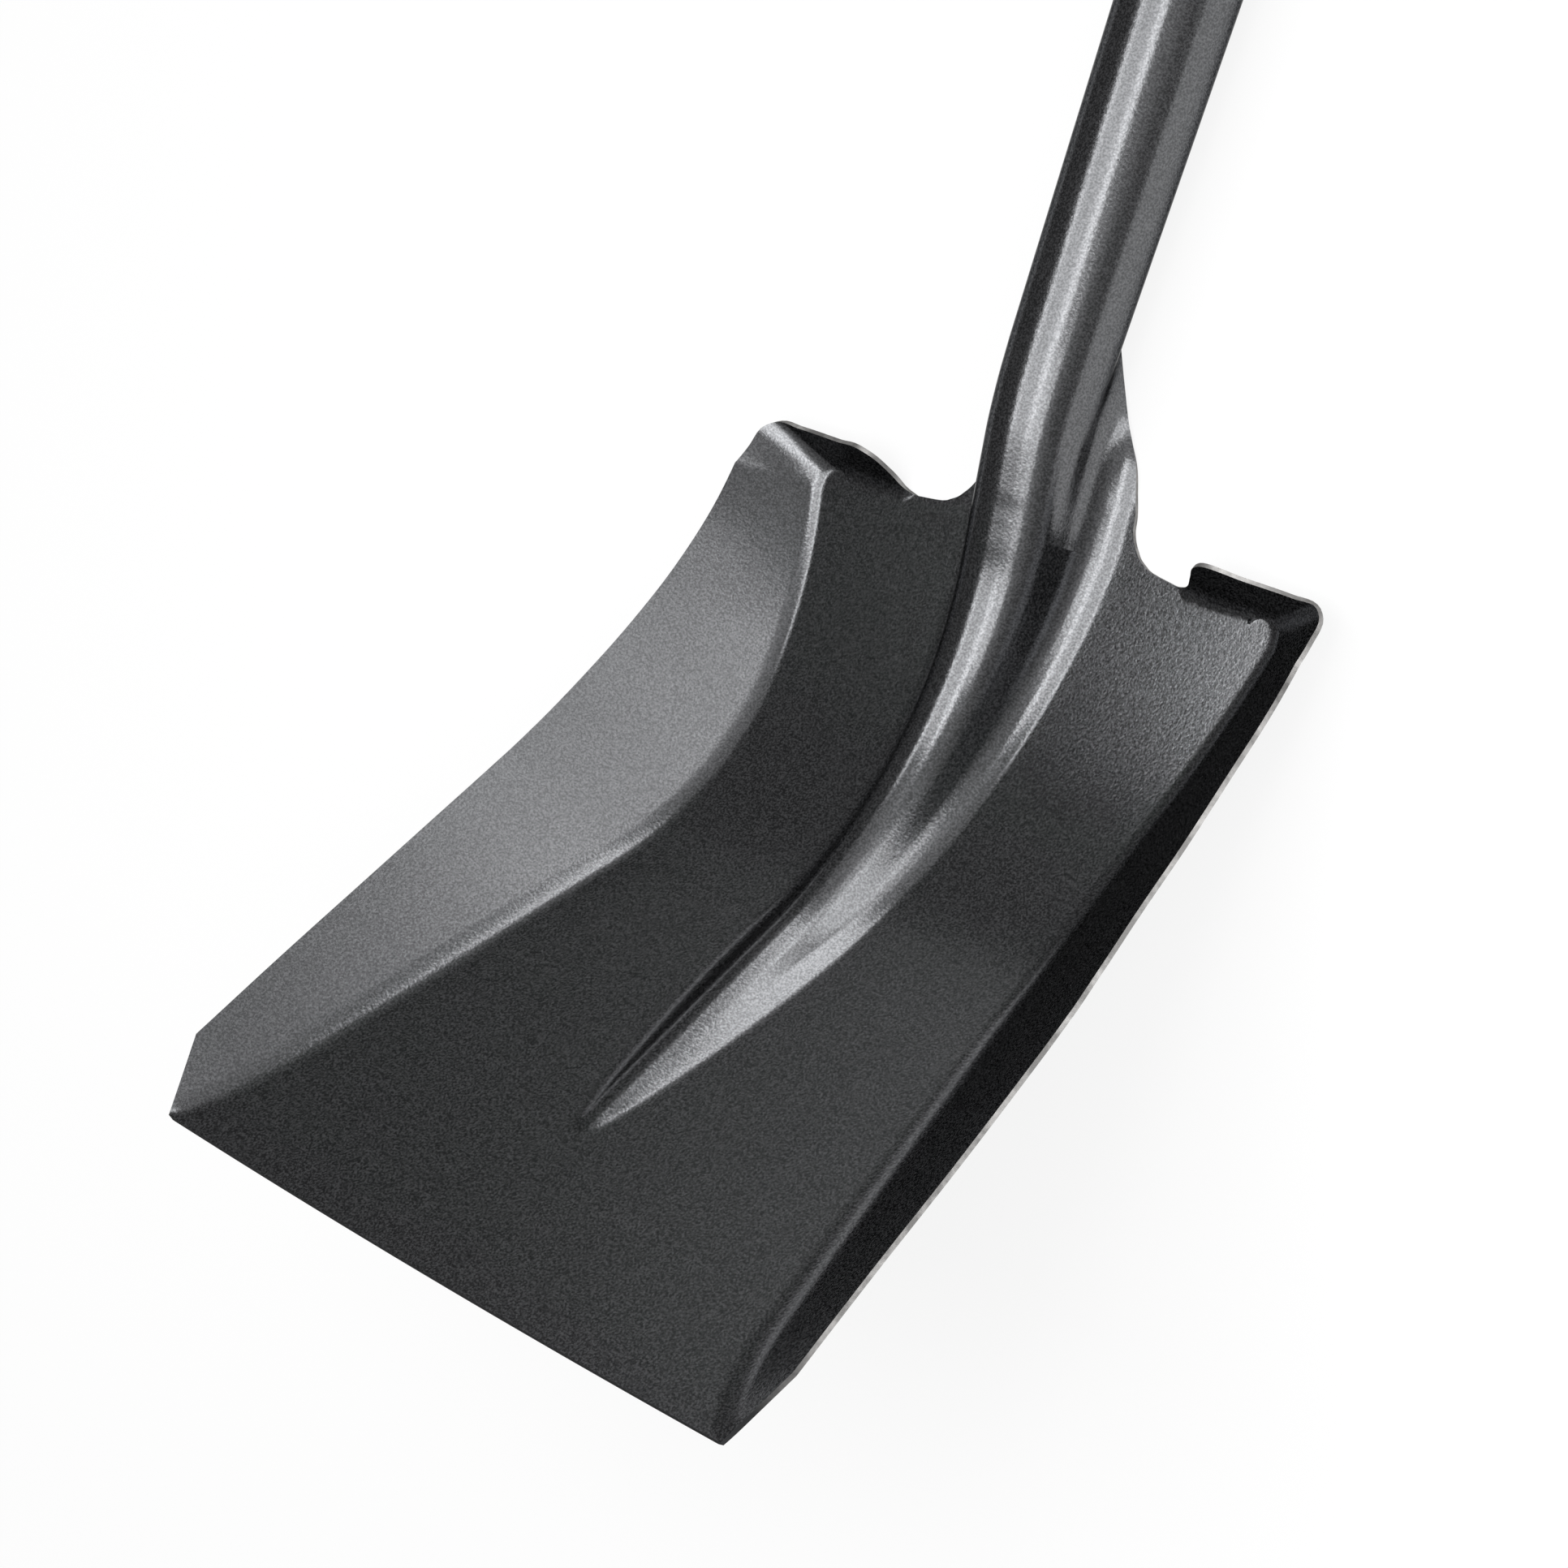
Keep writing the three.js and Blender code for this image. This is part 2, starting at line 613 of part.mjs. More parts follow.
// An arm of the yoke, thinner all round by an inset. Its sections are flattened ovals that spread
// from the neck, run beside the hand and end in a round eye.
function arm(side, inset) {
  const start = -forkStart;
  const eye = eyeRadius - inset;
  const rings = [];
  for (let i = 0; i <= armSteps + eyeSteps; i += 1) {
    const onEye = Math.max(i - armSteps, 0) / eyeSteps;
    const straight = start * (1 - Math.min(i / armSteps, 1));
    const along = onEye > 0 ? eye * Math.sin((onEye * Math.PI) / 2) : straight;
    const spread = THREE.MathUtils.smoothstep(along, start, start + forkRun);
    const slant = Math.max(1, Math.hypot(1, (yokeHalfWidth / forkRun) * 6 * spread * (1 - spread)));
    const round = Math.max(along, 0) / eye;
    const cap = Math.sqrt(Math.max(1 - round * round, eyeTipShare));
    const width = (armHalfWidth - inset) * slant * Math.pow(Math.max(1 - round ** 4, eyeTipShare), 1 / 4);
    const swell = THREE.MathUtils.smoothstep(along, -2 * eyeRadius, 0);
    const depth = THREE.MathUtils.lerp(armHalfDepth, eyeRadius, swell) - inset;
    const power = 2 / THREE.MathUtils.lerp(2, 4, spread);
    const ring = [];
    for (let j = 0; j < armTurn; j += 1) {
      const turn = (2 * Math.PI * j) / armTurn;
      const bulge = (value) => Math.sign(value) * Math.abs(value) ** power;
      ring.push(new THREE.Vector3(
        side * yokeHalfWidth * spread + width * bulge(Math.sin(turn)),
        along,
        depth * cap * bulge(Math.cos(turn)),
      ));
    }
    rings.push(ring);
  }
  return toSolid(loft(rings));
}

// The yoke's neck, a sleeve that narrows to a rounded end between the arms.
function yokeNeck(inset) {
  const radius = tenonRadius + clearance + yokeSheet - inset;
  const bottom = inset > 0 ? -yokeLength - overrun : -yokeLength;
  const reach = armHalfDepth - inset;
  return toSolid(turned([
    [0, bottom],
    [radius, bottom],
    ...neckEndShares.map(([along, width]) => [radius * width, reach * along - forkStart]),
    [0, reach - forkStart],
  ]));
}

function yokeGeometry(front) {
  const outer = yokeNeck(0).add(arm(1, 0)).add(arm(-1, 0));
  const inner = yokeNeck(yokeSheet).add(arm(1, yokeSheet)).add(arm(-1, yokeSheet));
  const at = new THREE.Matrix4();
  const bore = drill(gripRadius + clearance, yokeHalfWidth, alongX, at);
  const rod = drill(rodRadius + clearance, yokeHalfWidth + eyeRadius, alongX, at);
  const rivets = yokeRivetPlaces.map((before) => (
    drill(yokeRivetRadius + clearance, eyeRadius + overrun, alongZ, at.clone().setPosition(0, -before, 0))
  ));
  const shell = cut(outer.subtract(inner), [bore, rod, ...rivets]);
  const width = 2 * (yokeHalfWidth + eyeRadius);
  const block = new THREE.BoxGeometry(width, 2 * (yokeLength + eyeRadius), width);
  const side = front ? 1 : -1;
  block.translate(0, 0, side * (width / 2 + clearance / 2));
  return toGeometry(shell.intersect(toSolid(block))).applyMatrix4(onAxis(gripAxis));
}

// Crosspiece: barrel shaped between the arms, with a hole for its rod.
function crosspieceGeometry() {
  const end = yokeHalfWidth + armHalfWidth - yokeSheet - gripSeat;
  const swell = yokeHalfWidth - armHalfWidth - gripChamfer;
  const outer = barrelShares.map((share) => [
    gripRadius + gripSwell * (1 - share * share),
    swell * share,
  ]);
  const hole = rodRadius + clearance;
  const body = turned([
    [hole, -end],
    [gripRadius - gripChamfer, -end],
    [gripRadius, -end + gripChamfer],
    ...outer,
    [gripRadius, end - gripChamfer],
    [gripRadius - gripChamfer, end],
    [hole, end],
    [hole, -end],
  ]);
  return body.applyMatrix4(alongX).applyMatrix4(onAxis(gripAxis));
}

const washerFace = yokeHalfWidth + armHalfWidth + clearance;
const rodHalf = washerFace + washerThickness + clearance;

function washerGeometry(side) {
  const hole = rodRadius + clearance;
  const ring = turned([
    [hole, 0],
    [washerRadius, 0],
    [washerRadius, washerThickness],
    [hole, washerThickness],
    [hole, 0],
  ]);
  ring.translate(0, side > 0 ? washerFace : -washerFace - washerThickness, 0);
  return ring.applyMatrix4(alongX).applyMatrix4(onAxis(gripAxis));
}

const shovel = new THREE.Group();

function add(name, geometry, color, roughness, metalness) {
  const bare = geometry.clone();
  bare.deleteAttribute('normal');
  bare.deleteAttribute('uv');
  const merged = mergeVertices(bare, weld);
  merged.computeVertexNormals();
  const mesh = new THREE.Mesh(merged, new THREE.MeshStandardMaterial({ color, roughness, metalness }));
  mesh.name = name;
  shovel.add(mesh);
}

const lacquer = [0x2b2c2e, 0.38, 0.75];
const timber = [0xb98a56, 0.6, 0];
const steel = [0x8c8d90, 0.35, 0.9];

add('blade', bladeGeometry(), ...lacquer);
add('shaft', shaftGeometry(), ...timber);
socketRivetPlaces.forEach((behind, i) => {
  const along = panLength + behind;
  const seat = tubeRadius(along) + clearance;
  const pin = rivet(socketRivetRadius, socketRivetHead, socketRivetRise, seat);
  const name = ['socket_rivet_lower', 'socket_rivet_upper'][i];
  add(name, pin.applyMatrix4(alongX).applyMatrix4(onAxis(along)), ...steel);
});
add('yoke_front', yokeGeometry(true), ...lacquer);
add('yoke_back', yokeGeometry(false), ...lacquer);
yokeRivetPlaces.forEach((before, i) => {
  const seat = tenonRadius + clearance + yokeSheet + clearance;
  const pin = rivet(yokeRivetRadius, yokeRivetHead, yokeRivetRise, seat);
  const name = ['yoke_rivet_lower', 'yoke_rivet_upper'][i];
  add(name, pin.applyMatrix4(alongZ).applyMatrix4(onAxis(gripAxis - before)), ...steel);
});
add('grip_crosspiece', crosspieceGeometry(), ...timber);
const rod = rivet(rodRadius, rodHeadRadius, rodHeadRise, rodHalf);
add('grip_rod', rod.applyMatrix4(alongX).applyMatrix4(onAxis(gripAxis)), ...steel);
add('grip_washer_right', washerGeometry(1), ...steel);
add('grip_washer_left', washerGeometry(-1), ...steel);

// The origin is the middle of the shovel's foot on the ground.
const box = new THREE.Box3().setFromObject(shovel);
shovel.position.y = -(box.min.y + box.max.y) / 2;

export default shovel;
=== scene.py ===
"""A square mouth shovel that lies on its heel and its grip, hollow side up, seen from above its right side.

The blade, its frog and its socket are one pressed sheet in dark lacquer. A timber shaft is riveted into the
socket, and a pressed yoke on its other end holds a turned crosspiece.
"""

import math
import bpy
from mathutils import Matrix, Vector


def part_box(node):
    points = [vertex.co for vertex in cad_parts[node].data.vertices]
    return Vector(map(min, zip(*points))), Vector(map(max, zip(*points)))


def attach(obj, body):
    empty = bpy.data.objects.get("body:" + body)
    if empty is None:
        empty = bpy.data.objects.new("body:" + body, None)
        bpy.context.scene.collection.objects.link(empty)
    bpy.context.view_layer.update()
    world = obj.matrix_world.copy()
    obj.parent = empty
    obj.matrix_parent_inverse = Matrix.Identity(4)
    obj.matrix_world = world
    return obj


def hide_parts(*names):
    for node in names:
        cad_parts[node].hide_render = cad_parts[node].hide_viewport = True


bl_info = {
    "name": "Square Mouth Shovel",
    "version": (1, 0, 0),
    "blender": (4, 5, 0),
    "location": "View3D > Sidebar > Shovel",
    "description": "Builds a square mouth shovel and a pale studio around it",
    "category": "Add Mesh",
}

from types import SimpleNamespace

import bmesh
import bpy
import numpy as np
from bpy.props import FloatProperty, FloatVectorProperty, PointerProperty
from mathutils import Matrix, Vector

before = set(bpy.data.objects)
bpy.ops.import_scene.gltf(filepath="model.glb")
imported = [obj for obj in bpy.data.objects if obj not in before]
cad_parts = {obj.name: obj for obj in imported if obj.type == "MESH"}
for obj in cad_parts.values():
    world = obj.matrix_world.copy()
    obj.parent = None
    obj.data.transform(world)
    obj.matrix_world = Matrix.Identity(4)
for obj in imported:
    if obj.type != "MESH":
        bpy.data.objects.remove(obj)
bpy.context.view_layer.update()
MM = 0.001

# Rows: along the pan, half width of the pan, half width of the rim, height of the rim.
# The shares follow the pan length, half the mouth width twice and the wall rise.
WALL_SHARES = np.array([
    [0, 1, 1.085, 0.226],
    [0.02, 0.969, 1.082, 0.253],
    [0.078, 0.908, 1.072, 0.332],
    [0.192, 0.841, 1.053, 0.487],
    [0.32, 0.775, 1.032, 0.641],
    [0.447, 0.713, 1.007, 0.807],
    [0.559, 0.663, 0.982, 0.955],
    [0.639, 0.648, 0.968, 1],
    [0.735, 0.658, 0.958, 0.958],
    [0.831, 0.702, 0.952, 0.843],
    [0.927, 0.758, 0.957, 0.665],
    [1, 0.808, 0.965, 0.531],
])

# The rim round a back corner and along a lip to the notch.
# Rows: across, set back, rise, as shares of half the mouth width, the lip setback and the lip rise.
CORNER_RIM_SHARES = np.array([
    [0.958, -0.25, 1.06],
    [0.952, 0.62, 0.87],
    [0.923, 0.97, 0.75],
    [0.85, 1, 0.67],
])
LIP_RIM_SHARES = np.array([
    [0.7, 1, 0.71],
    [0.577, 1, 1],
    [0.549, 0.87, 0.84],
    [0.516, 0.5, 0.44],
    [0.485, 0.11, 0.1],
    [0.465, 0.02, 0.018],
])

# The pan's rows bend into the foot of the lips over this share of its length.
LIP_BEND_SHARE = 0.1

# Rows: along the pan, rise of the crown, crown radius, root radius, steepest slope of the flank in degrees.
FROG_SHARES = np.array([
    [0.209, 0, 0.56, 0.72, 16],
    [0.216, 0.019, 0.6, 0.78, 17],
    [0.24, 0.046, 0.69, 0.87, 20],
    [0.32, 0.12, 0.75, 1, 28],
    [0.447, 0.254, 0.69, 0.97, 38],
    [0.575, 0.39, 0.66, 0.8, 52],
    [0.703, 0.536, 0.71, 0.8, 60],
    [0.831, 0.705, 0.81, 0.87, 66],
    [0.958, 0.915, 0.96, 0.96, 73],
    [1, 1, 1, 1, 77],
])

# Rows: along the neck, rise of the crown, slope of the flank and of the sheet's edge in degrees,
# flank, root radius, flange.
NECK_SHARES = np.array([
    [0, 1, 77, 0, 0.94, 1, 1],
    [0.012, 1.007, 78, 0, 0.89, 1, 0.61],
    [0.034, 1.02, 79, 0, 0.88, 0.99, 0.39],
    [0.075, 1.044, 81, 0, 0.84, 0.985, 0.215],
    [0.126, 1.078, 84, 0, 0.765, 0.98, 0.1],
    [0.184, 1.112, 87, 0, 0.71, 0.965, 0.06],
    [0.259, 1.156, 91, 5, 0.61, 0.94, 0.035],
    [0.345, 1.203, 95, 12, 0.64, 0.87, 0.03],
    [0.494, 1.252, 105, 48, 0.57, 0.87, 0.02],
    [0.655, 1.2745, 125, 85, 0.36, 0.87, 0],
    [0.828, 1.3, 150, 130, 0.21, 0.87, 0],
    [1, 1.31, 168, 168, 0, 0.87, 0],
])

# The rivets through the yoke's neck, as shares of the neck before the fork.
YOKE_RIVET_SHARES = (("yoke_rivet_lower", 0.75), ("yoke_rivet_upper", 0.25))

# How finely the surfaces are divided.
CHAMFER_STEPS = 12
PAN_STEPS = 132
HEEL_STEPS = 3
CORNER_STEPS = 16
LIP_STEPS = 34
FOLD_STEPS = 9
WALL_STEPS = 4
FROG_STEPS = (15, 3, 13, 6)
NECK_ROWS = 64
TUBE_ROWS = 40
TURN_STEPS = 64
PIN_STEPS = 48
DOME_STEPS = 12

# Vertices nearer than this are one, in metres. The blade's sheet has the second value.
WELD = 2e-6
BLADE_WELD = 8e-6

# The rows of the neck lie closer near the notch by this power, and an arc takes up to this share of a side.
NECK_CROWDING = 1.5
ARC_SHARE = 0.45

# Small rounds and chamfers, in millimetres, and the least angle of an edge that is rounded.
EDGE_ROUND = 0.2
WASHER_ROUND = 0.3
SHAFT_ROUND = 1.2
SHAFT_CHAMFER = 2.0
GRIP_CHAMFER = 1.5
SHARP_ANGLE = math.radians(50)

# What is left of the yoke's sections where its eyes and its neck end, as shares.
EYE_TIP_DEPTH = 0.002
EYE_TIP_WIDTH = 0.02
NECK_TIP = 0.02

# Grain of the lacquer and of the ash. Scales are counts in a metre.
TOOTH_SCALE = 1450.0
TOOTH_SHARE = 0.22
WAVE_SCALE = 26.0
CHIP_SCALE = 95.0
PORE_SCALE = 1500.0
PORE_DARKNESS = 0.45
PORE_STRETCH = (1.0, 0.03, 1.0)
RING_HEART = (0.011, 0.0, 0.006)
RING_STRETCH = (1.0, 0.045, 1.0)
RING_WANDER = 0.009
GRIP_GRAIN_SHIFT = (0.03, 0.0, 0.004)

# How dark the metals turn at a grazing look, and the painted shade on the mouth's cut edge: where it fades,
# in millimetres from the mouth, and its tone as a share of the lacquer's.
GRAZING_TINT = (0.25, 0.25, 0.25, 1)
MOUTH_SHADE_REACH = (12, 30)
MOUTH_SHADE_TONE = 0.35

# The floor's reach in metres, and the share of plain white that the camera and reflections see in it.
FLOOR_REACH = 40.0
FLOOR_WHITE = 0.86

# Brightness of the room from left to right.
ROOM_STOPS = [(0.0, 0.14), (0.2, 0.1), (0.5, 0.3), (0.65, 0.5), (0.88, 0.55), (0.95, 0.3), (1.0, 0.22)]

# Soft boxes hang over the part from this height, in metres.
OVERHEAD = 1.0

# Soft boxes: name, place, point that they face, width and length in metres, and brightness.
SOFT_BOXES = [
    ("strip_left", (-0.53, -0.16, 1.15), (-0.53, -0.16, 0), (0.16, 1.0), 5.0),
    ("strip_middle", (-0.13, -0.26, 1.15), (-0.13, -0.26, 0), (0.64, 0.82), 2.5),
    ("strip_right", (0.34, -0.26, 1.15), (0.34, -0.26, 0), (0.3, 0.82), 4.6),
    ("strip_edge", (0.78, -0.5, 1.15), (0.78, -0.5, 0), (0.5, 0.6), 3.0),
    ("back_panel", (0.35, 2.2, 0.72), (0.35, 0, 0.72), (2.9, 1.2), 3.4),
    ("side_panel", (2.4, 1.3, 0.66), (0, -0.3, 0.66), (1.9, 1.1), 2.7),
    ("high_panel", (0, 1.2, 1.75), (0, -0.3, 0.1), (2.6, 1.1), 0.3),
    ("high_patch", (1.95, 2.2, 1.95), (0, -0.35, 0.07), (1.3, 0.9), 1.15),
    ("back_edge", (-1.5, 2.2, 0.6), (-0.3, 0, 0.3), (0.8, 1.0), 0.2),
]

# The camera: its place in millimetres from the heel's end of the bend, and its axes.
CAMERA_AT = (695.42, 45.493, 942.658)
CAMERA_RIGHT = (0.71630, 0.30307, -0.62853)
CAMERA_UP = (-0.30736, 0.94570, 0.10573)
CAMERA_BACK = (0.62645, 0.11745, 0.77056)


def length(name, millimetres, text):
    """A length as a property in metres. Its default is given in millimetres."""
    return FloatProperty(name=name, default=millimetres * MM, description=text, subtype="DISTANCE", min=0.0)


def colour(name, default, text):
    """A linear colour, as a property."""
    return FloatVectorProperty(
        name=name, default=default, description=text, subtype="COLOR", size=3, min=0.0, max=1.0
    )


class ShovelBladeSizes(bpy.types.PropertyGroup):
    """Sizes of the pressed sheet."""

    mouth_width: length("Mouth width", 240.0, "Width of the mouth's edge")
    pan_length: length("Pan length", 315.4, "Along the sheet from the mouth to the foot of the back lips")
    flat_run: length("Flat run", 159.0, "Straight sheet behind the mouth")
    heel_run: length("Heel run", 6.0, "Flat sheet that rests on the ground")
    bend_angle: FloatProperty(
        name="Bend", default=math.radians(47.16), subtype="ANGLE",
        description="From the mouth's sheet to the heel",
    )
    sheet: length("Sheet", 1.5, "Thickness of the steel")
    mouth_bow: length("Mouth bow", 1.5, "How far the middle of the mouth's edge stands before its corners")
    chamfer_run: length("Chamfer run", 24.5, "Length of the walls' slanted ends")
    wall_rise: length("Wall rise", 33.7, "Greatest height of the side walls")
    fold_radius: length("Fold radius", 8.0, "Radius of the fold between the pan and a wall")
    mouth_fold_radius: length("Mouth fold radius", 22.0, "Radius of the fold where it runs out at the mouth")
    corner_radius: length("Corner radius", 9.0, "In plan, where a wall turns into a back lip")
    lip_rise: length("Lip rise", 15.2, "Height of a back lip at its inner end")
    lip_setback: length("Lip setback", 8.4, "How far a lip's edge leans behind its foot")
    notch_half: length("Notch half", 54.0, "From the middle to the inner end of a back lip")
    frog_rise: length("Frog rise", 29.5, "Height of the frog's crown at the lips")
    crown_radius: length("Crown radius", 16.0, "Radius over the frog's crown")
    root_radius: length("Root radius", 13.8, "Radius of the hollow fillet beside the frog")
    neck_length: length("Neck length", 87.0, "From the lips to where the neck is closed")
    flank_length: length("Flank length", 7.0, "Straight stretch of a flank at the lips")
    flange_width: length("Flange width", 23.5, "Flat sheet beside the neck at the lips")
    socket_length: length("Socket length", 247.0, "From the lips to the socket's open end")
    socket_start: length("Socket start", 57.0, "Where the socket's straight axis begins, behind the lips")
    socket_rise: length("Socket rise", 20.6, "Height of the axis above the pan there")
    socket_radius: length("Socket radius", 17.0, "Outer radius of the socket there")
    socket_flare: FloatProperty(
        name="Socket flare", default=0.0168, description="Growth of the radius with length"
    )
    seam_gap: length("Seam gap", 1.2, "Width of the open seam at the back")
    seam_run: length("Seam run", 40.0, "Length over which the seam closes")


class ShovelHandleSizes(bpy.types.PropertyGroup):
    """Sizes of the shaft, the grip and their fasteners."""

    clearance: length("Clearance", 0.3, "Between pieces that touch")
    grip_reach: length("Grip reach", 727.0, "From the lips to the crosspiece's axis")
    shaft_start: length("Shaft start", 60.0, "The shaft's lower end, behind the lips")
    shaft_radius: length("Shaft radius", 17.6, "Radius of the timber above the socket")
    shaft_neck_radius: length("Shaft neck radius", 16.4, "Radius where it enters the yoke")
    tenon_radius: length("Tenon radius", 14.4, "Radius inside the yoke")
    tenon_length: length("Tenon length", 49.0, "Length inside the yoke")
    yoke_length: length("Yoke length", 150.0, "From its open end to the crosspiece's axis")
    yoke_sheet: length("Yoke sheet", 1.5, "Thickness of the yoke's steel")
    yoke_half_width: length("Yoke half width", 58.0, "From the middle to an arm's centre")
    fork_start: length("Fork start", 98.0, "Where the arms leave the neck, before the crosspiece")
    fork_run: length("Fork run", 60.0, "Length over which the arms spread")
    arm_half_width: length("Arm half width", 7.0, "Half of an arm's width")
    arm_half_depth: length("Arm half depth", 13.0, "Half of an arm's depth at the neck")
    eye_radius: length("Eye radius", 19.0, "Radius of the arms' round ends")
    grip_radius: length("Grip radius", 15.5, "Radius of the crosspiece at its ends")
    grip_swell: length("Grip swell", 1.2, "How much thicker its middle is")
    grip_seat: length("Grip seat", 3.0, "From the crosspiece's end to the arm's outer face")
    rod_radius: length("Rod radius", 3.0, "Radius of the rod through the crosspiece")
    rod_head_radius: length("Rod head radius", 5.4, "Radius of its heads")
    rod_head_rise: length("Rod head rise", 2.6, "Height of its heads")
    washer_radius: length("Washer radius", 8.0, "Radius of the washers")
    washer_thickness: length("Washer thickness", 1.4, "Thickness of the washers")
    socket_rivet_radius: length("Socket rivet radius", 3.0, "Radius of the pins through the socket")
    socket_rivet_head: length("Socket rivet head", 6.2, "Radius of their heads")
    socket_rivet_rise: length("Socket rivet rise", 2.6, "Height of their heads")
    lower_rivet_inset: length("Lower rivet inset", 55.0, "Lower socket rivet, before the socket's open end")
    upper_rivet_inset: length("Upper rivet inset", 21.0, "Upper socket rivet, before the socket's open end")
    yoke_rivet_radius: length("Yoke rivet radius", 2.4, "Radius of the pins through the yoke")
    yoke_rivet_head: length("Yoke rivet head", 4.8, "Radius of their heads")
    yoke_rivet_rise: length("Yoke rivet rise", 2.0, "Height of their heads")


class ShovelFinish(bpy.types.PropertyGroup):
    """Colours of the materials, in linear light."""

    lacquer: colour("Lacquer", (0.14, 0.142, 0.147), "Graphite lacquer on the steel")
    bare_edge: colour("Sheet edge", (0.46, 0.45, 0.44), "Cut edges where the lacquer is thin")
    timber: colour("Timber", (0.56, 0.37, 0.19), "Pale rings of the ash")
    timber_dark: colour("Timber rings", (0.33, 0.19, 0.085), "Dark rings of the ash")
    rivet: colour("Rivets", (0.42, 0.42, 0.43), "Zinc on the rivets, rod and washers")
    floor: colour("Floor", (0.93, 0.93, 0.93), "Studio floor")


# Surfaces


def smooth_through(rows, at):
    """Cubics through a table's rows: between two rows each column is the Hermite cubic whose slope at a
    row is the mean of the slopes on both sides, each weighted by the other side's span."""
    x = rows[:, 0]
    y = rows[:, 1:]
    span = np.diff(x)[:, None]
    chord = np.diff(y, axis=0) / span
    inner = (chord[:-1] * span[1:] + chord[1:] * span[:-1]) / (span[:-1] + span[1:])
    slope = np.concatenate([chord[:1], inner, chord[-1:]])
    at = np.clip(at, x[0], x[-1])
    k = np.clip(np.searchsorted(x, at, side="right") - 1, 0, len(x) - 2)
    t = ((at - x[k]) / span[k, 0])[:, None]
    u = 1 - t
    ends = u * u * (1 + 2 * t) * y[k] + t * t * (3 - 2 * t) * y[k + 1]
    return ends + t * u * (u * slope[k] - t * slope[k + 1]) * span[k]


def smoothstep(value, low, high):
    """Three times the square less twice the cube of the share of the way from low to high."""
    t = np.clip((value - low) / (high - low), 0, 1)
    return t * t * (3 - 2 * t)


def plain_sizes(group):
    """The numbers of a property group, with its lengths in millimetres."""
    numbers = [item for item in group.bl_rna.properties if item.type == "FLOAT"]
    unit = {item.identifier: MM if item.unit == "LENGTH" else 1 for item in numbers}
    return SimpleNamespace(**{name: getattr(group, name) / scale for name, scale in unit.items()})


class Layout:
    """Places that follow from the sizes, in millimetres."""

    def __init__(self, scene):
        b = self.b = plain_sizes(scene.shovel_blade)
        h = self.h = plain_sizes(scene.shovel_handle)
        if b.flat_run + b.heel_run >= b.pan_length or b.bend_angle <= 0:
            raise ValueError("The flat run and the heel leave no room for the bend.")
        if b.socket_length <= b.neck_length or h.grip_reach <= b.socket_length + h.yoke_length:
            raise ValueError("The neck, the socket and the yoke overlap.")
        self.half = b.mouth_width / 2
        self.bend_end = b.pan_length - b.heel_run
        self.bend_radius = (self.bend_end - b.flat_run) / b.bend_angle
        self.grip_axis = b.pan_length + h.grip_reach
        self.axis_start = b.pan_length + b.socket_start
        drop = h.eye_radius - b.sheet - b.socket_rise
        self.axis_slope = drop / (self.grip_axis - self.axis_start)
        self.tilt = math.atan(self.axis_slope)
        self.top = b.pan_length + b.socket_length
        self.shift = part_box("blade")[1][1] / MM - (self.top - self.bend_end)

    def axis_rise(self, along):
        """Height of the shaft's axis above the pan's line."""
        return self.b.socket_rise + (along - self.axis_start) * self.axis_slope

    def tube_radius(self, along):
        """Outer radius of the socket, which grows evenly with length."""
        return self.b.socket_radius + (along - self.axis_start) * self.b.socket_flare

    def place(self, across, along, above):
        """The spine is a straight run, a circular bend and a straight heel. A point is reached by going
        along it, then out along its normal by the height above the pan."""
        b = self.b
        bow = b.mouth_bow * (across / self.half) ** 2 * np.maximum(1 - along / b.chamfer_run, 0)
        turn = np.clip((self.bend_end - along) / self.bend_radius, 0, b.bend_angle)
        radius = self.bend_radius - above
        ahead = np.maximum(b.flat_run - along - bow, 0)
        behind = np.maximum(along - self.bend_end, 0)
        y = behind - radius * np.sin(turn) - ahead * np.cos(turn)
        z = b.sheet + self.bend_radius - radius * np.cos(turn) + ahead * np.sin(turn)
        return np.stack(np.broadcast_arrays(across, y + self.shift, z), axis=-1)

    def on_axis(self, along):
        """The shaft's axis as a frame, in metres: its origin lies on the axis, and Y runs along it."""
        at = self.place(np.zeros(1), np.array([along]), np.array([self.axis_rise(along)]))[0]
        return Matrix.Translation(Vector(at) * MM) @ Matrix.Rotation(self.tilt, 4, "X")

    def across_axis(self, along):
        """The same frame, turned so that Y runs across to the right."""
        return self.on_axis(along) @ Matrix.Rotation(-math.pi / 2, 4, "Z")


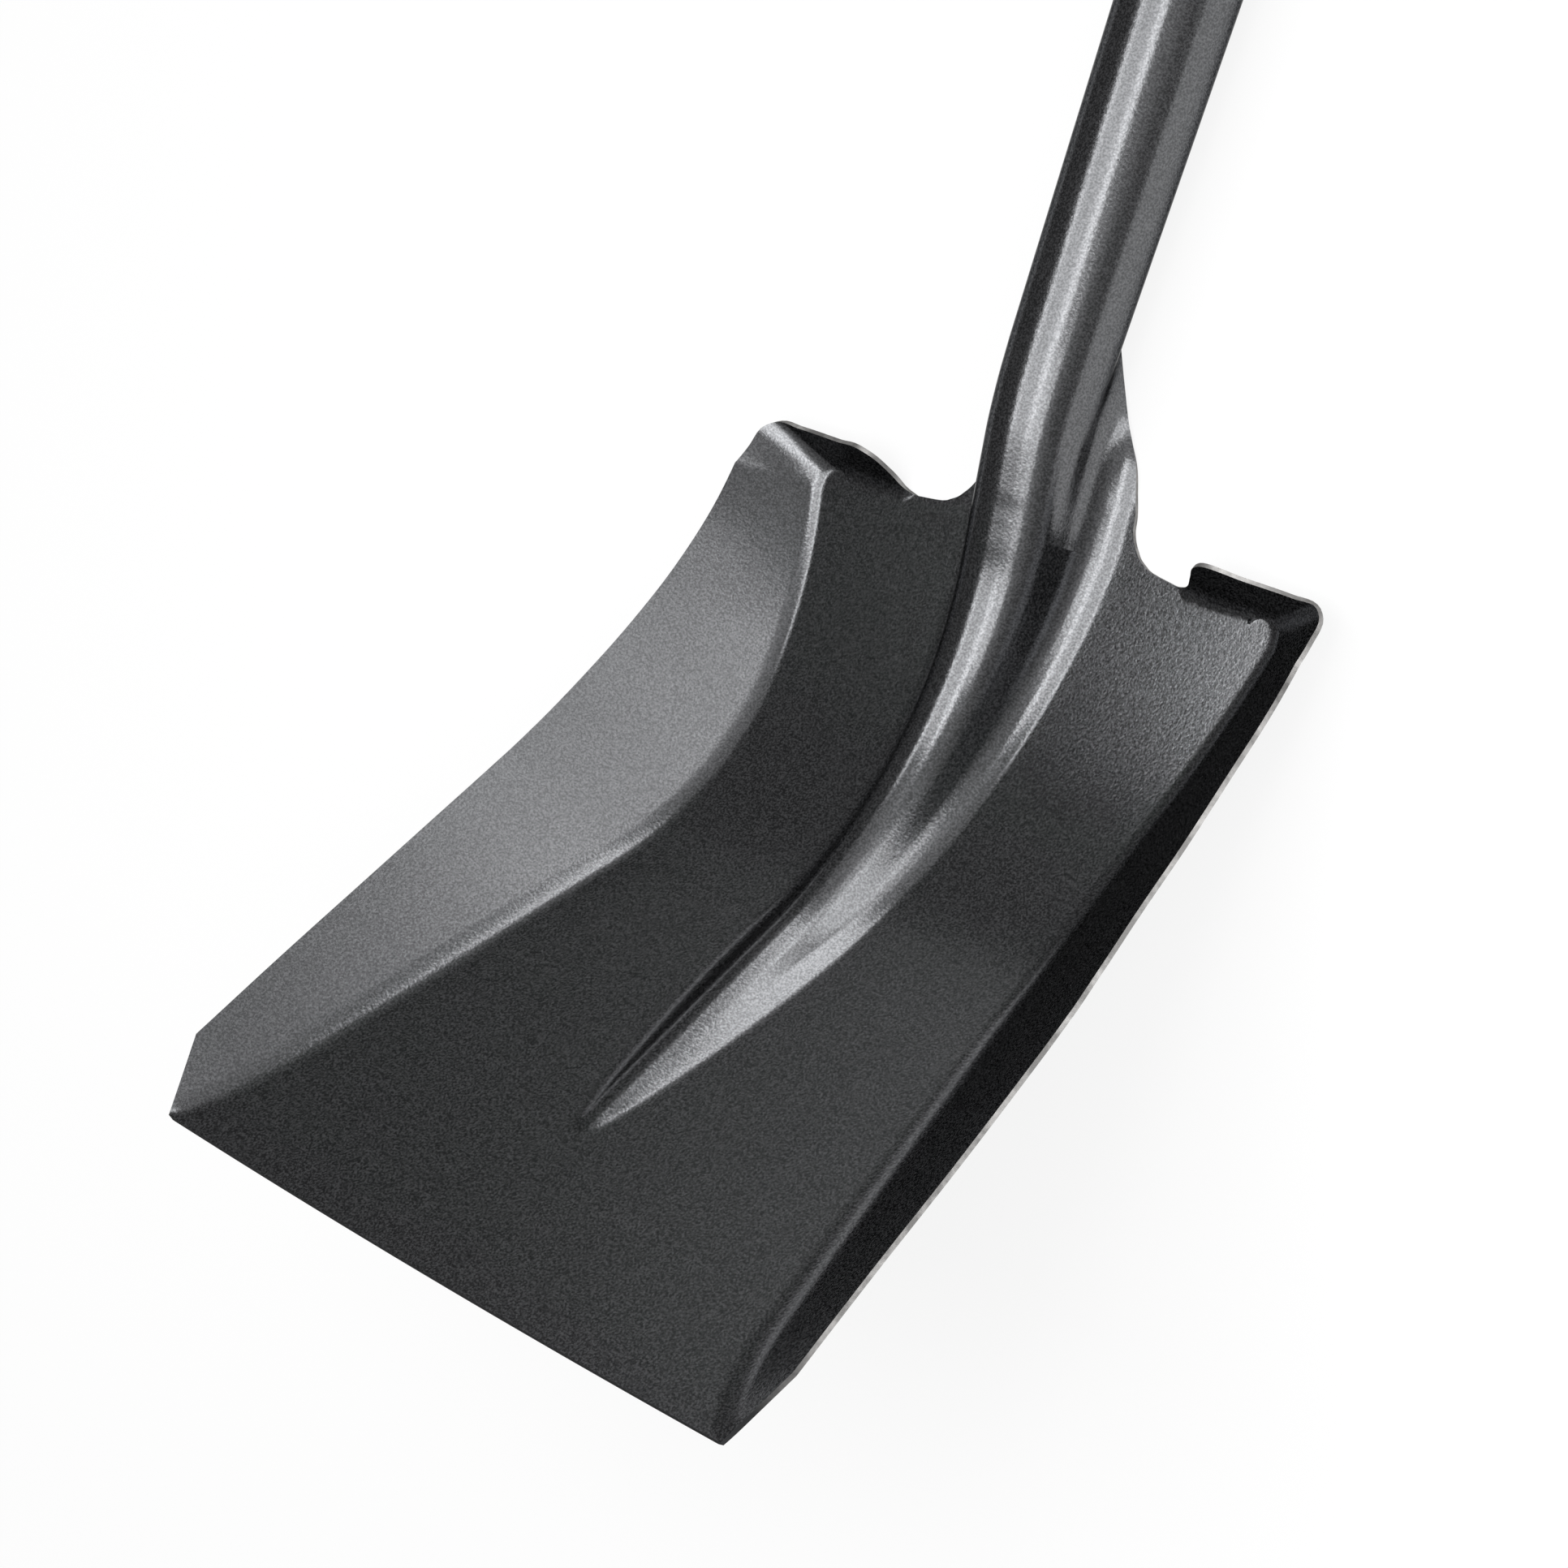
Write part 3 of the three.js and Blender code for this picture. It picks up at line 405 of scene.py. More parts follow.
def frog_surface(place, along):
    """Half of the frog, neck and socket. Each row is a cross section of four pieces joined in line: an arc
    over the crown, a straight flank, a hollow arc back to the edge's slope and a flat flange. A point is
    found by going a distance along them. Near the tube the distances are spread evenly."""
    b = place.b
    behind = along - b.pan_length
    frog = smooth_through(FROG_SHARES, along / b.pan_length)
    rise = b.frog_rise * frog[:, 0]
    crown = b.crown_radius * frog[:, 1]
    root = b.root_radius * frog[:, 2]
    slope = np.radians(frog[:, 3])
    arcs = (crown + root) * (1 - np.cos(slope))
    flank = np.maximum((rise - arcs) / np.sin(slope), 0)
    squash = np.minimum(rise / arcs, 1)
    flange = b.notch_half - (crown + root) * np.sin(slope) - flank * np.cos(slope)

    part = behind / b.neck_length
    neck = smooth_through(NECK_SHARES, part)
    closed = smoothstep(behind, 0, b.socket_start)
    radius = place.tube_radius(along)
    closing = np.clip((behind - b.neck_length) / b.seam_run, 0, 1)
    open_slope = np.radians(neck[:, 1])
    seam = np.arcsin(b.seam_gap / 2 / radius)
    neck_slope = open_slope + (np.pi - seam - open_slope) * closing
    is_neck = behind > 0
    tube_rise = place.axis_rise(along) + radius
    rise = np.where(is_neck, np.where(along < place.axis_start, b.frog_rise * neck[:, 0], tube_rise), rise)
    crown = np.where(is_neck, b.crown_radius + (radius - b.crown_radius) * closed, crown)
    root = np.where(is_neck, b.root_radius * neck[:, 4], root)
    edge = np.where(is_neck, np.where(part < 1, np.radians(neck[:, 2]), neck_slope), 0)
    slope = np.where(is_neck, neck_slope, slope)
    flank = np.where(is_neck, b.flank_length * np.maximum(neck[:, 3], 0), flank)
    flange = np.where(is_neck, b.flange_width * np.maximum(neck[:, 5], 0), flange)
    squash = np.where(is_neck, 1, squash)

    lengths = np.stack([crown * slope, flank, root * (slope - edge), flange], axis=1)
    starts = np.cumsum(lengths, axis=1) - lengths
    total = lengths.sum(axis=1)
    shares = [np.arange(steps) / steps for steps in FROG_STEPS]
    kept = [starts[:, i, None] + lengths[:, i, None] * share for i, share in enumerate(shares)]
    kept = np.concatenate(kept + [total[:, None]], axis=1)
    columns = kept.shape[1] - 1
    even = smoothstep(behind, 0, b.neck_length / 3)[:, None]
    distance = kept + (total[:, None] * np.arange(columns + 1) / columns - kept) * even
    run = np.clip(distance[:, :, None] - starts[:, None, :], 0, lengths[:, None, :])

    crown, root, slope, edge = (v[:, None] for v in (crown, root, slope, edge))
    on_crown = run[:, :, 0] / crown
    on_root = slope - run[:, :, 2] / root
    across = (
        crown * np.sin(on_crown) + run[:, :, 1] * np.cos(slope)
        + root * (np.sin(slope) - np.sin(on_root)) + run[:, :, 3] * np.cos(edge)
    )
    drop = (
        crown * (1 - np.cos(on_crown)) + run[:, :, 1] * np.sin(slope)
        + root * (np.cos(on_root) - np.cos(slope)) + run[:, :, 3] * np.sin(edge)
    )
    above = rise[:, None] - drop * squash[:, None]
    return place.place(across, along[:, None] + 0 * across, above)


def pan_places(place, end, steps):
    """Places along the sheet: even steps over the chamfer, then even steps to the end."""
    run = place.b.chamfer_run
    front = np.linspace(0, run, CHAMFER_STEPS, endpoint=False)
    return np.concatenate([front, np.linspace(run, end, steps + 1)])


def middle_places(place):
    """Places along the middle, with a few more over the flat heel."""
    heel = np.linspace(place.bend_end, place.b.pan_length, HEEL_STEPS + 1)[1:]
    return np.concatenate([pan_places(place, place.bend_end, PAN_STEPS - HEEL_STEPS), heel])


def tray_outline(place):
    """The fold's foot and the rim round one half of the tray. The wall's rim follows the table. Round the
    corner and along the lip it is a smooth curve through the listed points, measured by its chords."""
    b, half = place.b, place.half
    corner_start = b.pan_length - b.corner_radius
    along = pan_places(place, corner_start, PAN_STEPS - CORNER_STEPS // 2)
    share = along / b.pan_length
    foot = half * smooth_through(WALL_SHARES, share)[:, 0]
    table = smooth_through(WALL_SHARES, np.maximum(share, b.chamfer_run / b.pan_length))
    end = np.minimum(along / b.chamfer_run, 1)
    rim_across = half + (half * table[:, 1] - half) * end
    side_foot = np.stack([foot, along], axis=1)
    side_rim = np.stack([rim_across, along, b.wall_rise * table[:, 2] * end], axis=1)

    scale = np.array([half, b.lip_setback, b.lip_rise])
    points = np.concatenate([CORNER_RIM_SHARES, LIP_RIM_SHARES]) * scale + [0, b.pan_length, 0]
    points = np.concatenate([side_rim[-1:], points, [[b.notch_half, b.pan_length, 0]]])
    chord = np.concatenate([[0], np.cumsum(np.linalg.norm(np.diff(points, axis=0), axis=1))])
    corners = len(CORNER_RIM_SHARES)
    reach = np.concatenate([
        np.linspace(0, chord[corners], CORNER_STEPS + 1)[1:],
        np.linspace(chord[corners], chord[-1], LIP_STEPS + 1)[1:],
    ])
    rim = smooth_through(np.column_stack([chord, points]), reach)
    index = np.interp(reach, chord, np.arange(len(chord)))
    outer = side_foot[-1, 0]
    inner = half * WALL_SHARES[-1, 1] - b.corner_radius
    turn = np.pi / 2 * np.minimum(index / corners, 1)
    feet = np.concatenate([[inner], half * LIP_RIM_SHARES[:, 0], [b.notch_half]])
    across = np.where(
        index < corners,
        inner + (outer - inner) * np.cos(turn),
        np.interp(index, np.arange(corners, len(chord)), feet),
    )
    back = corner_start + b.corner_radius * np.sin(turn)
    return (
        np.concatenate([side_foot, np.stack([across, back], axis=1)]),
        np.concatenate([side_rim, rim]),
    )


def wall_surface(place):
    """Each row starts on the pan, turns through the fold's arc until it points at the rim, and runs
    straight to it. Where the wall is lower than the fold, the row is an arc that ends at the rim. A point
    is found by going a distance along the arc and the straight. Past the corner the foot keeps going
    inwards."""
    foot, rim = tray_outline(place)
    b = place.b
    reach = rim[:, :2] - foot
    flat = np.linalg.norm(reach, axis=1)
    out = reach / np.maximum(flat, 1e-9)[:, None]
    mouth = 1 - smoothstep(foot[:, 1], 0, b.pan_length)
    radius = b.fold_radius + (b.mouth_fold_radius - b.fold_radius) * mouth
    lean = np.arctan2(rim[:, 2], flat)
    turn = np.minimum(lean, np.arccos(np.clip(1 - rim[:, 2] / radius, 0, 1)))
    low = turn < lean
    tangent = np.where(low, radius * np.sin(turn) - flat, radius * np.tan(lean / 2))
    arc = radius * turn
    straight = np.where(low, 0, np.hypot(flat, rim[:, 2]) - tangent)
    total = arc + straight
    steps = FOLD_STEPS + WALL_STEPS
    on_fold = np.minimum(arc / np.maximum(total, 1e-9), FOLD_STEPS / steps)[:, None]
    fold_share = np.arange(FOLD_STEPS) / FOLD_STEPS
    wall_share = np.arange(WALL_STEPS + 1) / WALL_STEPS
    share = np.concatenate([on_fold * fold_share, on_fold + (1 - on_fold) * wall_share], axis=1)
    run = total[:, None] * share
    bent = np.minimum(run, arc[:, None]) / radius[:, None]
    rest = np.maximum(run - arc[:, None], 0)
    along_out = radius[:, None] * np.sin(bent) - tangent[:, None] + rest * np.cos(turn)[:, None]
    above = radius[:, None] * (1 - np.cos(bent)) + rest * np.sin(turn)[:, None]
    across = foot[:, None] + out[:, None] * along_out[:, :, None]
    across[-LIP_STEPS - CORNER_STEPS:, 0, 0] = np.minimum.accumulate(across[-LIP_STEPS - CORNER_STEPS:, 0, 0])
    return np.concatenate([across, above[:, :, None]], axis=2)


def pan_surface(place, middle, walls):
    """The flat sheet between the frog and the fold. Each row runs straight from the middle grid to the
    fold. Over the last stretch the rows bend into the foot of the lips, by the square of the share of
    the way through it. The points across are spaced as the foot of the lip is."""
    b = place.b
    rows = len(middle) - 1
    side = walls[: rows + 1, 0]
    back = walls[rows:, 0][::-1]
    step = np.linalg.norm(np.diff(back, axis=0), axis=1)
    across = (np.concatenate([[0], np.cumsum(step)]) / step.sum())[None, :, None]
    inner = np.column_stack([np.full(rows + 1, b.notch_half), middle, np.zeros(rows + 1)])
    straight = inner[:, None] + (side - inner)[:, None] * across
    bent = np.clip((middle / b.pan_length - 1) / LIP_BEND_SHARE + 1, 0, 1)[:, None, None] ** 2
    return straight + (back[None] - straight[-1:]) * bent


# Meshes


def grid_faces(rows, columns, first, closed=False):
    """Quads of a grid of vertices that is stored row by row."""
    i, j = np.meshgrid(np.arange(rows - 1), np.arange(columns if closed else columns - 1), indexing="ij")
    a = first + i * columns + j
    b = first + i * columns + (j + 1) % columns
    return np.stack([a, b, b + columns, a + columns], axis=-1).reshape(-1, 4)


def make_object(name, grids, materials, closed=False, merge=WELD):
    """One mesh from several grids of points in metres, with its doubles merged."""
    points, faces, count = [], [], 0
    for grid in grids:
        rows, columns = grid.shape[:2]
        points.append(grid.reshape(-1, 3))
        faces.append(grid_faces(rows, columns, count, closed))
        count += rows * columns
    mesh = bpy.data.meshes.new(name)
    mesh.from_pydata(np.concatenate(points), [], np.concatenate(faces).tolist())
    work = bmesh.new()
    work.from_mesh(mesh)
    bmesh.ops.remove_doubles(work, verts=work.verts, dist=merge)
    bmesh.ops.dissolve_degenerate(work, edges=work.edges, dist=merge / 2)
    work.to_mesh(mesh)
    work.free()
    mesh.polygons.foreach_set("use_smooth", np.ones(len(mesh.polygons), dtype=bool))
    piece = bpy.data.objects.new(name, mesh)
    bpy.context.scene.collection.objects.link(piece)
    for material in materials:
        mesh.materials.append(material)
    return piece


def face_out(piece):
    """Recalculates the normals of a closed mesh so that they point out of it."""
    work = bmesh.new()
    work.from_mesh(piece.data)
    bmesh.ops.recalc_face_normals(work, faces=work.faces)
    work.to_mesh(piece.data)
    work.free()


def finish_edges(piece, width, segments=2):
    """A fine round on the sharp edges, with normals that keep the large faces flat."""
    bevel = piece.modifiers.new("edge_round", "BEVEL")
    bevel.width = width * MM
    bevel.segments = segments
    bevel.limit_method = "ANGLE"
    bevel.angle_limit = SHARP_ANGLE
    bevel.use_clamp_overlap = True
    normals = piece.modifiers.new("face_normals", "WEIGHTED_NORMAL")
    normals.keep_sharp = True
    normals.weight = 60


def settle(piece, slot, *nodes):
    """The piece rides on the root body and stands for its CAD nodes."""
    if not piece.data.polygons:
        raise RuntimeError(f"{piece.name} has no faces.")
    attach(piece, "root")
    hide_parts(*nodes)
    return piece


def turned(name, profile, matrix, materials, steps=TURN_STEPS, close=True):
    """A turned solid: the profile's radius is swept round the Y axis, then the frame places it."""
    radius, along = np.array(profile, dtype=float).T
    turn = np.linspace(0, 2 * np.pi, steps, endpoint=False)
    grid = np.stack(np.broadcast_arrays(
        radius[:, None] * np.cos(turn), along[:, None] + 0 * turn, radius[:, None] * np.sin(turn)
    ), axis=-1)
    piece = make_object(name, [moved(grid * MM, matrix)], materials, closed=True)
    face_out(piece)
    return piece


def moved(points, matrix):
    """Points turned and placed by a frame."""
    m = np.array(matrix)
    return points @ m[:3, :3].T + m[:3, 3]


def rounded(corners, radius, steps=6):
    """A profile whose inner corners are cut by short arcs. Each arc is the curve of the second degree
    that leaves one side and joins the next at the radius from the corner."""
    corners = np.array(corners, dtype=float)
    out = [corners[:1]]
    t = np.linspace(0, 1, steps + 1)[:, None]
    for before, corner, after in zip(corners[:-2], corners[1:-1], corners[2:]):
        reach_in = min(radius, np.linalg.norm(before - corner) * ARC_SHARE)
        reach_out = min(radius, np.linalg.norm(after - corner) * ARC_SHARE)
        start = corner + (before - corner) / np.linalg.norm(before - corner) * reach_in
        end = corner + (after - corner) / np.linalg.norm(after - corner) * reach_out
        out.append((1 - t) ** 2 * start + 2 * t * (1 - t) * corner + t**2 * end)
    out.append(corners[-1:])
    return np.concatenate(out)


# Shader groups


FLOAT = "NodeSocketFloat"


def new_group(name, inputs, outputs):
    """An empty shader group with named sockets."""
    group = bpy.data.node_groups.new(name, "ShaderNodeTree")
    for label, kind, default in inputs:
        socket = group.interface.new_socket(label, in_out="INPUT", socket_type=kind)
        if default is not None:
            socket.default_value = default
    for label, kind in outputs:
        group.interface.new_socket(label, in_out="OUTPUT", socket_type=kind)
    return group, group.nodes.new("NodeGroupInput"), group.nodes.new("NodeGroupOutput")


def fill(tree, socket, value):
    """Links an output to an input, or sets the input to a number or a colour."""
    if isinstance(value, bpy.types.NodeSocket):
        tree.links.new(value, socket)
    else:
        socket.default_value = value


def wire(tree, made, **values):
    """Fills a node's inputs by their names, with spaces written as _."""
    for key, value in values.items():
        fill(tree, made.inputs[key.replace("_", " ")], value)
    return made


def node(tree, kind, **values):
    """A node with its inputs filled."""
    return wire(tree, tree.nodes.new(kind), **values)


def maths(tree, operation, *values, clamp=False):
    """The output of one operation on numbers and outputs."""
    made = tree.nodes.new("ShaderNodeMath")
    made.operation = operation
    made.use_clamp = clamp
    for socket, value in zip(made.inputs, values):
        fill(tree, socket, value)
    return made.outputs[0]


def noise(tree, place, scale, detail, roughness, distortion=0.0):
    """Cloudy values, mostly between 0.3 and 0.7."""
    made = node(tree, "ShaderNodeTexNoise", Vector=place, Scale=scale, Detail=detail, Roughness=roughness)
    return wire(tree, made, Distortion=distortion).outputs["Fac"]


def mapped(tree, value, low, high, to_low=0.0, to_high=1.0):
    """A value carried in proportion from one range to another, and held inside it."""
    made = node(tree, "ShaderNodeMapRange", Value=value, From_Min=low, From_Max=high)
    return wire(tree, made, To_Min=to_low, To_Max=to_high).outputs[0]


def blend(tree, share, low, high):
    """A mix of two colours by a share."""
    made = tree.nodes.new("ShaderNodeMix")
    made.data_type = "RGBA"
    return wire(tree, made, Factor=share, A=low, B=high).outputs["Result"]


def ramp(tree, stops, source):
    """A colour ramp with its stops, fed by a value."""
    made = tree.nodes.new("ShaderNodeValToRGB")
    elements = made.color_ramp.elements
    while len(elements) < len(stops):
        elements.new(0.5)
    for element, (position, value) in zip(elements, stops):
        element.position = position
        element.color = (value, value, value, 1) if isinstance(value, (int, float)) else (*value, 1)
    tree.links.new(source, made.inputs["Fac"])
    return made.outputs["Color"]


def shades(base, *stops):
    """Stops for a ramp, each a position and a share of the base colour."""
    return [(position, tuple(part * share for part in base)) for position, share in stops]


def own_place(tree):
    """The place on the object, in metres."""
    return node(tree, "ShaderNodeTexCoord").outputs["Object"]


def lacquer_grain_group():
    """Sprayed lacquer: ripples like fine leather, a fine tooth and slow waves. Height feeds a bump, Gloss
    varies the roughness, Fleck varies the colour in small specks and Tone varies it slowly."""
    group, source, sink = new_group(
        "lacquer_grain",
        [("Cell", FLOAT, 1.0), ("Waviness", FLOAT, 0.3)],
        [("Height", FLOAT), ("Gloss", FLOAT), ("Fleck", FLOAT), ("Tone", FLOAT)],
    )
    place = own_place(group)
    ripple = noise(group, place, maths(group, "DIVIDE", 1 / MM, source.outputs["Cell"]), 1.5, 0.45, 0.4)
    tooth = noise(group, place, TOOTH_SCALE, 1.0, 0.6)
    waves = noise(group, place, WAVE_SCALE, 2.0, 0.5)
    slow = maths(group, "MULTIPLY", waves, source.outputs["Waviness"])
    fine = maths(group, "MULTIPLY_ADD", tooth, TOOTH_SHARE, ripple)
    wire(group, sink, Height=maths(group, "ADD", fine, slow), Gloss=ripple, Fleck=tooth, Tone=waves)
    return group


def ash_grain_group():
    """Ash along Place's Y: rings that are a sine of the distance from a bent line, and stretched pores.
    Colour is the mix of two tones, Height feeds a bump and Gloss varies the roughness."""
    group, source, sink = new_group(
        "ash_grain",
        [
            ("Place", "NodeSocketVector", None),
            ("Pale", "NodeSocketColor", (0.56, 0.37, 0.19, 1)),
            ("Dark", "NodeSocketColor", (0.33, 0.19, 0.085, 1)),
            ("Ring", FLOAT, 2.6),
        ],
        [("Colour", "NodeSocketColor"), ("Height", FLOAT), ("Gloss", FLOAT)],
    )
    place = source.outputs["Place"]
    rings_at = node(group, "ShaderNodeMapping", Vector=place, Location=RING_HEART, Scale=RING_STRETCH)
    bend = noise(group, rings_at.outputs["Vector"], 70.0, 2.0, 0.5)
    part = node(group, "ShaderNodeSeparateXYZ", Vector=rings_at.outputs["Vector"]).outputs
    square_x = maths(group, "MULTIPLY", part["X"], part["X"])
    square = maths(group, "MULTIPLY_ADD", part["Z"], part["Z"], square_x)
    wander = maths(group, "MULTIPLY_ADD", bend, RING_WANDER, maths(group, "SQRT", square))
    per_ring = maths(group, "DIVIDE", 2 * math.pi / MM, source.outputs["Ring"])
    wave = maths(group, "SINE", maths(group, "MULTIPLY", wander, per_ring))
    rings = ramp(group, [(0.0, 0.0), (0.55, 0.25), (0.9, 1.0), (1.0, 0.35)], mapped(group, wave, -1.0, 1.0))
    pores_at = node(group, "ShaderNodeMapping", Vector=place, Scale=PORE_STRETCH).outputs["Vector"]
    pore = noise(group, pores_at, PORE_SCALE, 2.0, 0.7)
    pits = ramp(group, [(0.36, 1.0), (0.5, 0.0)], pore)
    darker = maths(group, "MULTIPLY_ADD", pits, PORE_DARKNESS, rings, clamp=True)
    tone = blend(group, darker, source.outputs["Pale"], source.outputs["Dark"])
    wire(group, sink, Colour=tone, Height=maths(group, "MULTIPLY", pits, -1.0), Gloss=pore)
    return group


# Materials


def material(name):
    """A material, its tree and its shader."""
    made = bpy.data.materials.new(name)
    made.use_nodes = True
    tree = made.node_tree
    return made, tree, tree.nodes["Principled BSDF"]


def shared(store, name, build):
    """A shader group or material that is built once."""
    return store[name] if name in store else build()


def placed_group(tree, name, build, **values):
    """A shader group's outputs in a material, with its inputs filled."""
    made = tree.nodes.new("ShaderNodeGroup")
    made.node_tree = shared(bpy.data.node_groups, name, build)
    return wire(tree, made, **values).outputs


def sprayed(tree, cell, waviness):
    """The outputs of the lacquer's grain."""
    return placed_group(tree, "lacquer_grain", lacquer_grain_group, Cell=cell, Waviness=waviness)


def bumped(tree, shader, height, distance, strength=1.0):
    """A bump from a height, on the shader's normal. Its distance is in millimetres."""
    bump = node(tree, "ShaderNodeBump", Height=height, Distance=distance * MM, Strength=strength)
    wire(tree, shader, Normal=bump.outputs["Normal"])


def lacquer_material():
    """Dark graphite lacquer. Its specks are a little less metallic, so that dark parts show the grain."""
    base = bpy.context.scene.shovel_finish.lacquer
    made, tree, shader = material("graphite_lacquer")
    grain = sprayed(tree, 1.05, 0.5)
    wire(
        tree, shader,
        Base_Color=ramp(tree, shades(base, (0.36, 0.75), (0.66, 1.27)), grain["Fleck"]),
        Roughness=mapped(tree, grain["Gloss"], 0.3, 0.7, 0.17, 0.23),
        Metallic=mapped(tree, grain["Fleck"], 0.4, 0.62, 1.0, 0.89),
        Specular_Tint=GRAZING_TINT,
    )
    bumped(tree, shader, grain["Height"], 0.037)
    return made


def sheet_edge_material():
    """Cut edges where the lacquer is chipped. Near the mouth the cut edge is painted darker than the lacquer,
    as painted shade.
    """
    finish = bpy.context.scene.shovel_finish
    made, tree, shader = material("thin_lacquer_edge")
    place = own_place(tree)
    chips = noise(tree, place, CHIP_SCALE, 4.0, 0.65)
    tint = ramp(tree, shades(finish.bare_edge, (0.42, 0.42), (0.68, 1.0)), chips)
    along = node(tree, "ShaderNodeSeparateXYZ", Vector=place).outputs["Y"]
    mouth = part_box("blade")[0][1]
    # Painted shade: the cut edge is darker than the lacquer near the mouth and fades to the chipped edge
    # further back.
    beyond_mouth_shade = mapped(tree, along, *(mouth + reach * MM for reach in MOUTH_SHADE_REACH))
    dark = (*(part * MOUTH_SHADE_TONE for part in finish.lacquer), 1)
    wire(
        tree, shader,
        Base_Color=blend(tree, beyond_mouth_shade, dark, tint), Metallic=0.8, Specular_Tint=GRAZING_TINT, Roughness=0.42,
    )
    bumped(tree, shader, sprayed(tree, 1.6, 0.2)["Height"], 0.04, 0.4)
    return made


def timber_material(name, turn=0.0, shift=(0.0, 0.0, 0.0)):
    """Varnished ash. The turn and the shift lay its grain along a piece."""
    finish = bpy.context.scene.shovel_finish
    made, tree, shader = material(name)
    laid = node(tree, "ShaderNodeMapping", Vector=own_place(tree), Rotation=(0.0, 0.0, turn), Location=shift)
    grain = placed_group(
        tree, "ash_grain", ash_grain_group,
        Place=laid.outputs["Vector"], Pale=(*finish.timber, 1), Dark=(*finish.timber_dark, 1),
    )
    rough = mapped(tree, grain["Gloss"], 0.0, 1.0, 0.38, 0.55)
    wire(tree, shader, Base_Color=grain["Colour"], Roughness=rough, Coat_Weight=0.25, Coat_Roughness=0.25)
    bumped(tree, shader, grain["Height"], 0.06, 0.5)
    return made


def rivet_material():
    """Dull zinc, mottled."""
    base = bpy.context.scene.shovel_finish.rivet
    made, tree, shader = material("zinc")
    grain = sprayed(tree, 0.7, 0.2)
    wire(
        tree, shader,
        Base_Color=ramp(tree, shades(base, (0.35, 0.7), (0.65, 1.15)), grain["Gloss"]),
        Roughness=mapped(tree, grain["Tone"], 0.0, 1.0, 0.3, 0.5),
        Metallic=1.0,
    )
    bumped(tree, shader, grain["Height"], 0.02, 0.5)
    return made


def zinc():
    """The material of the rivets, the rod and the washers."""
    return shared(bpy.data.materials, "zinc", rivet_material)


def steel_materials():
    """The lacquer of the sheets' faces and of their cut edges."""
    return [
        shared(bpy.data.materials, "graphite_lacquer", lacquer_material),
        shared(bpy.data.materials, "thin_lacquer_edge", sheet_edge_material),
    ]


# Pieces


def sheet_metal(piece, thickness):
    """Gives a sheet its thickness behind its front face, with its cut edges in the edge's material."""
    wall = piece.modifiers.new("sheet", "SOLIDIFY")
    wall.thickness = thickness * MM
    wall.offset = -1.0
    wall.use_even_offset = False
    wall.use_rim = True
    wall.material_offset_rim = 1
    finish_edges(piece, EDGE_ROUND)


class SHOVEL_OT_blade(bpy.types.Operator):
    """Adds the pressed sheet: pan, walls, lips, frog, neck and socket."""

    bl_idname = "shovel.blade"
    bl_label = "Blade"

    def execute(self, context):
        place = Layout(context.scene)
        b = place.b
        middle = middle_places(place)
        closed = b.pan_length + b.neck_length
        # The rows lie closer where the notch turns into the neck.
        neck = b.pan_length + b.neck_length * np.linspace(0, 1, NECK_ROWS + 1)[1:] ** NECK_CROWDING
        tube = np.linspace(closed, place.top, TUBE_ROWS + 1)[1:]
        frog = frog_surface(place, np.concatenate([middle, neck, tube]))
        walls = wall_surface(place)
        pan = pan_surface(place, middle, walls)
        grids = [frog] + [place.place(g[..., 0], g[..., 1], g[..., 2]) for g in (walls, pan)]
        mirrored = [(g * [-1, 1, 1])[:, ::-1] for g in grids]
        grids = [g * MM for g in grids + mirrored]
        piece = make_object("blade_sheet", grids, steel_materials(), merge=BLADE_WELD)
        sheet_metal(piece, b.sheet)
        settle(piece, "lacquered_steel", "blade")
        return {"FINISHED"}


class SHOVEL_OT_shaft(bpy.types.Operator):
    """Adds the timber shaft, tapered into the socket and turned down for the yoke."""

    bl_idname = "shovel.shaft"
    bl_label = "Shaft"

    def execute(self, context):
        place = Layout(context.scene)
        b, h = place.b, place.h
        bottom = b.pan_length + h.shaft_start
        shoulder = place.grip_axis - h.yoke_length + h.clearance
        inside = b.sheet + h.clearance
        chamfer = SHAFT_CHAMFER
        low = place.tube_radius(bottom) - inside
        profile = [
            (0, bottom),
            (low - chamfer, bottom),
            (low, bottom + chamfer),
            (place.tube_radius(place.top) - inside, place.top),
            (h.shaft_radius, place.top + b.socket_length / 2),
            (h.shaft_neck_radius, shoulder - chamfer),
            (h.shaft_neck_radius - chamfer / 2, shoulder - 2 * h.clearance),
            (h.tenon_radius, shoulder - 2 * h.clearance),
            (h.tenon_radius, shoulder + h.tenon_length - chamfer),
            (h.tenon_radius - chamfer, shoulder + h.tenon_length),
            (0, shoulder + h.tenon_length),
        ]
        profile = [(radius, along - place.grip_axis) for radius, along in profile]
        profile = rounded(profile, SHAFT_ROUND)
        wood = timber_material("varnished_ash_shaft")
        piece = turned("timber_shaft", profile, place.on_axis(place.grip_axis), [wood])
        settle(piece, "timber", "shaft")
        return {"FINISHED"}


def add_pin(name, radius, head_radius, head_rise, half, matrix):
    """A pin that stands for the node of its name, as long on each side of the frame as half says."""
    profile = pin_profile(radius, head_radius, head_rise, half)
    settle(turned(name + "_pin", profile, matrix, [zinc()], PIN_STEPS), "rivet_steel", name)


def pin_profile(radius, head_radius, head_rise, half):
    """A pin with a domed head on each end. The dome's radius is the head's radius times the cosine of an
    angle, and its height is the rise times the sine."""
    turn = np.linspace(0, np.pi / 2, DOME_STEPS)
    dome = np.stack([head_radius * np.cos(turn) ** 0.8, half + head_rise * np.sin(turn)], axis=1)
    upper = np.concatenate([[[radius, 0], [radius, half]], dome])
    upper[-1, 0] = 0
    return np.concatenate([(upper * [1, -1])[::-1], upper])


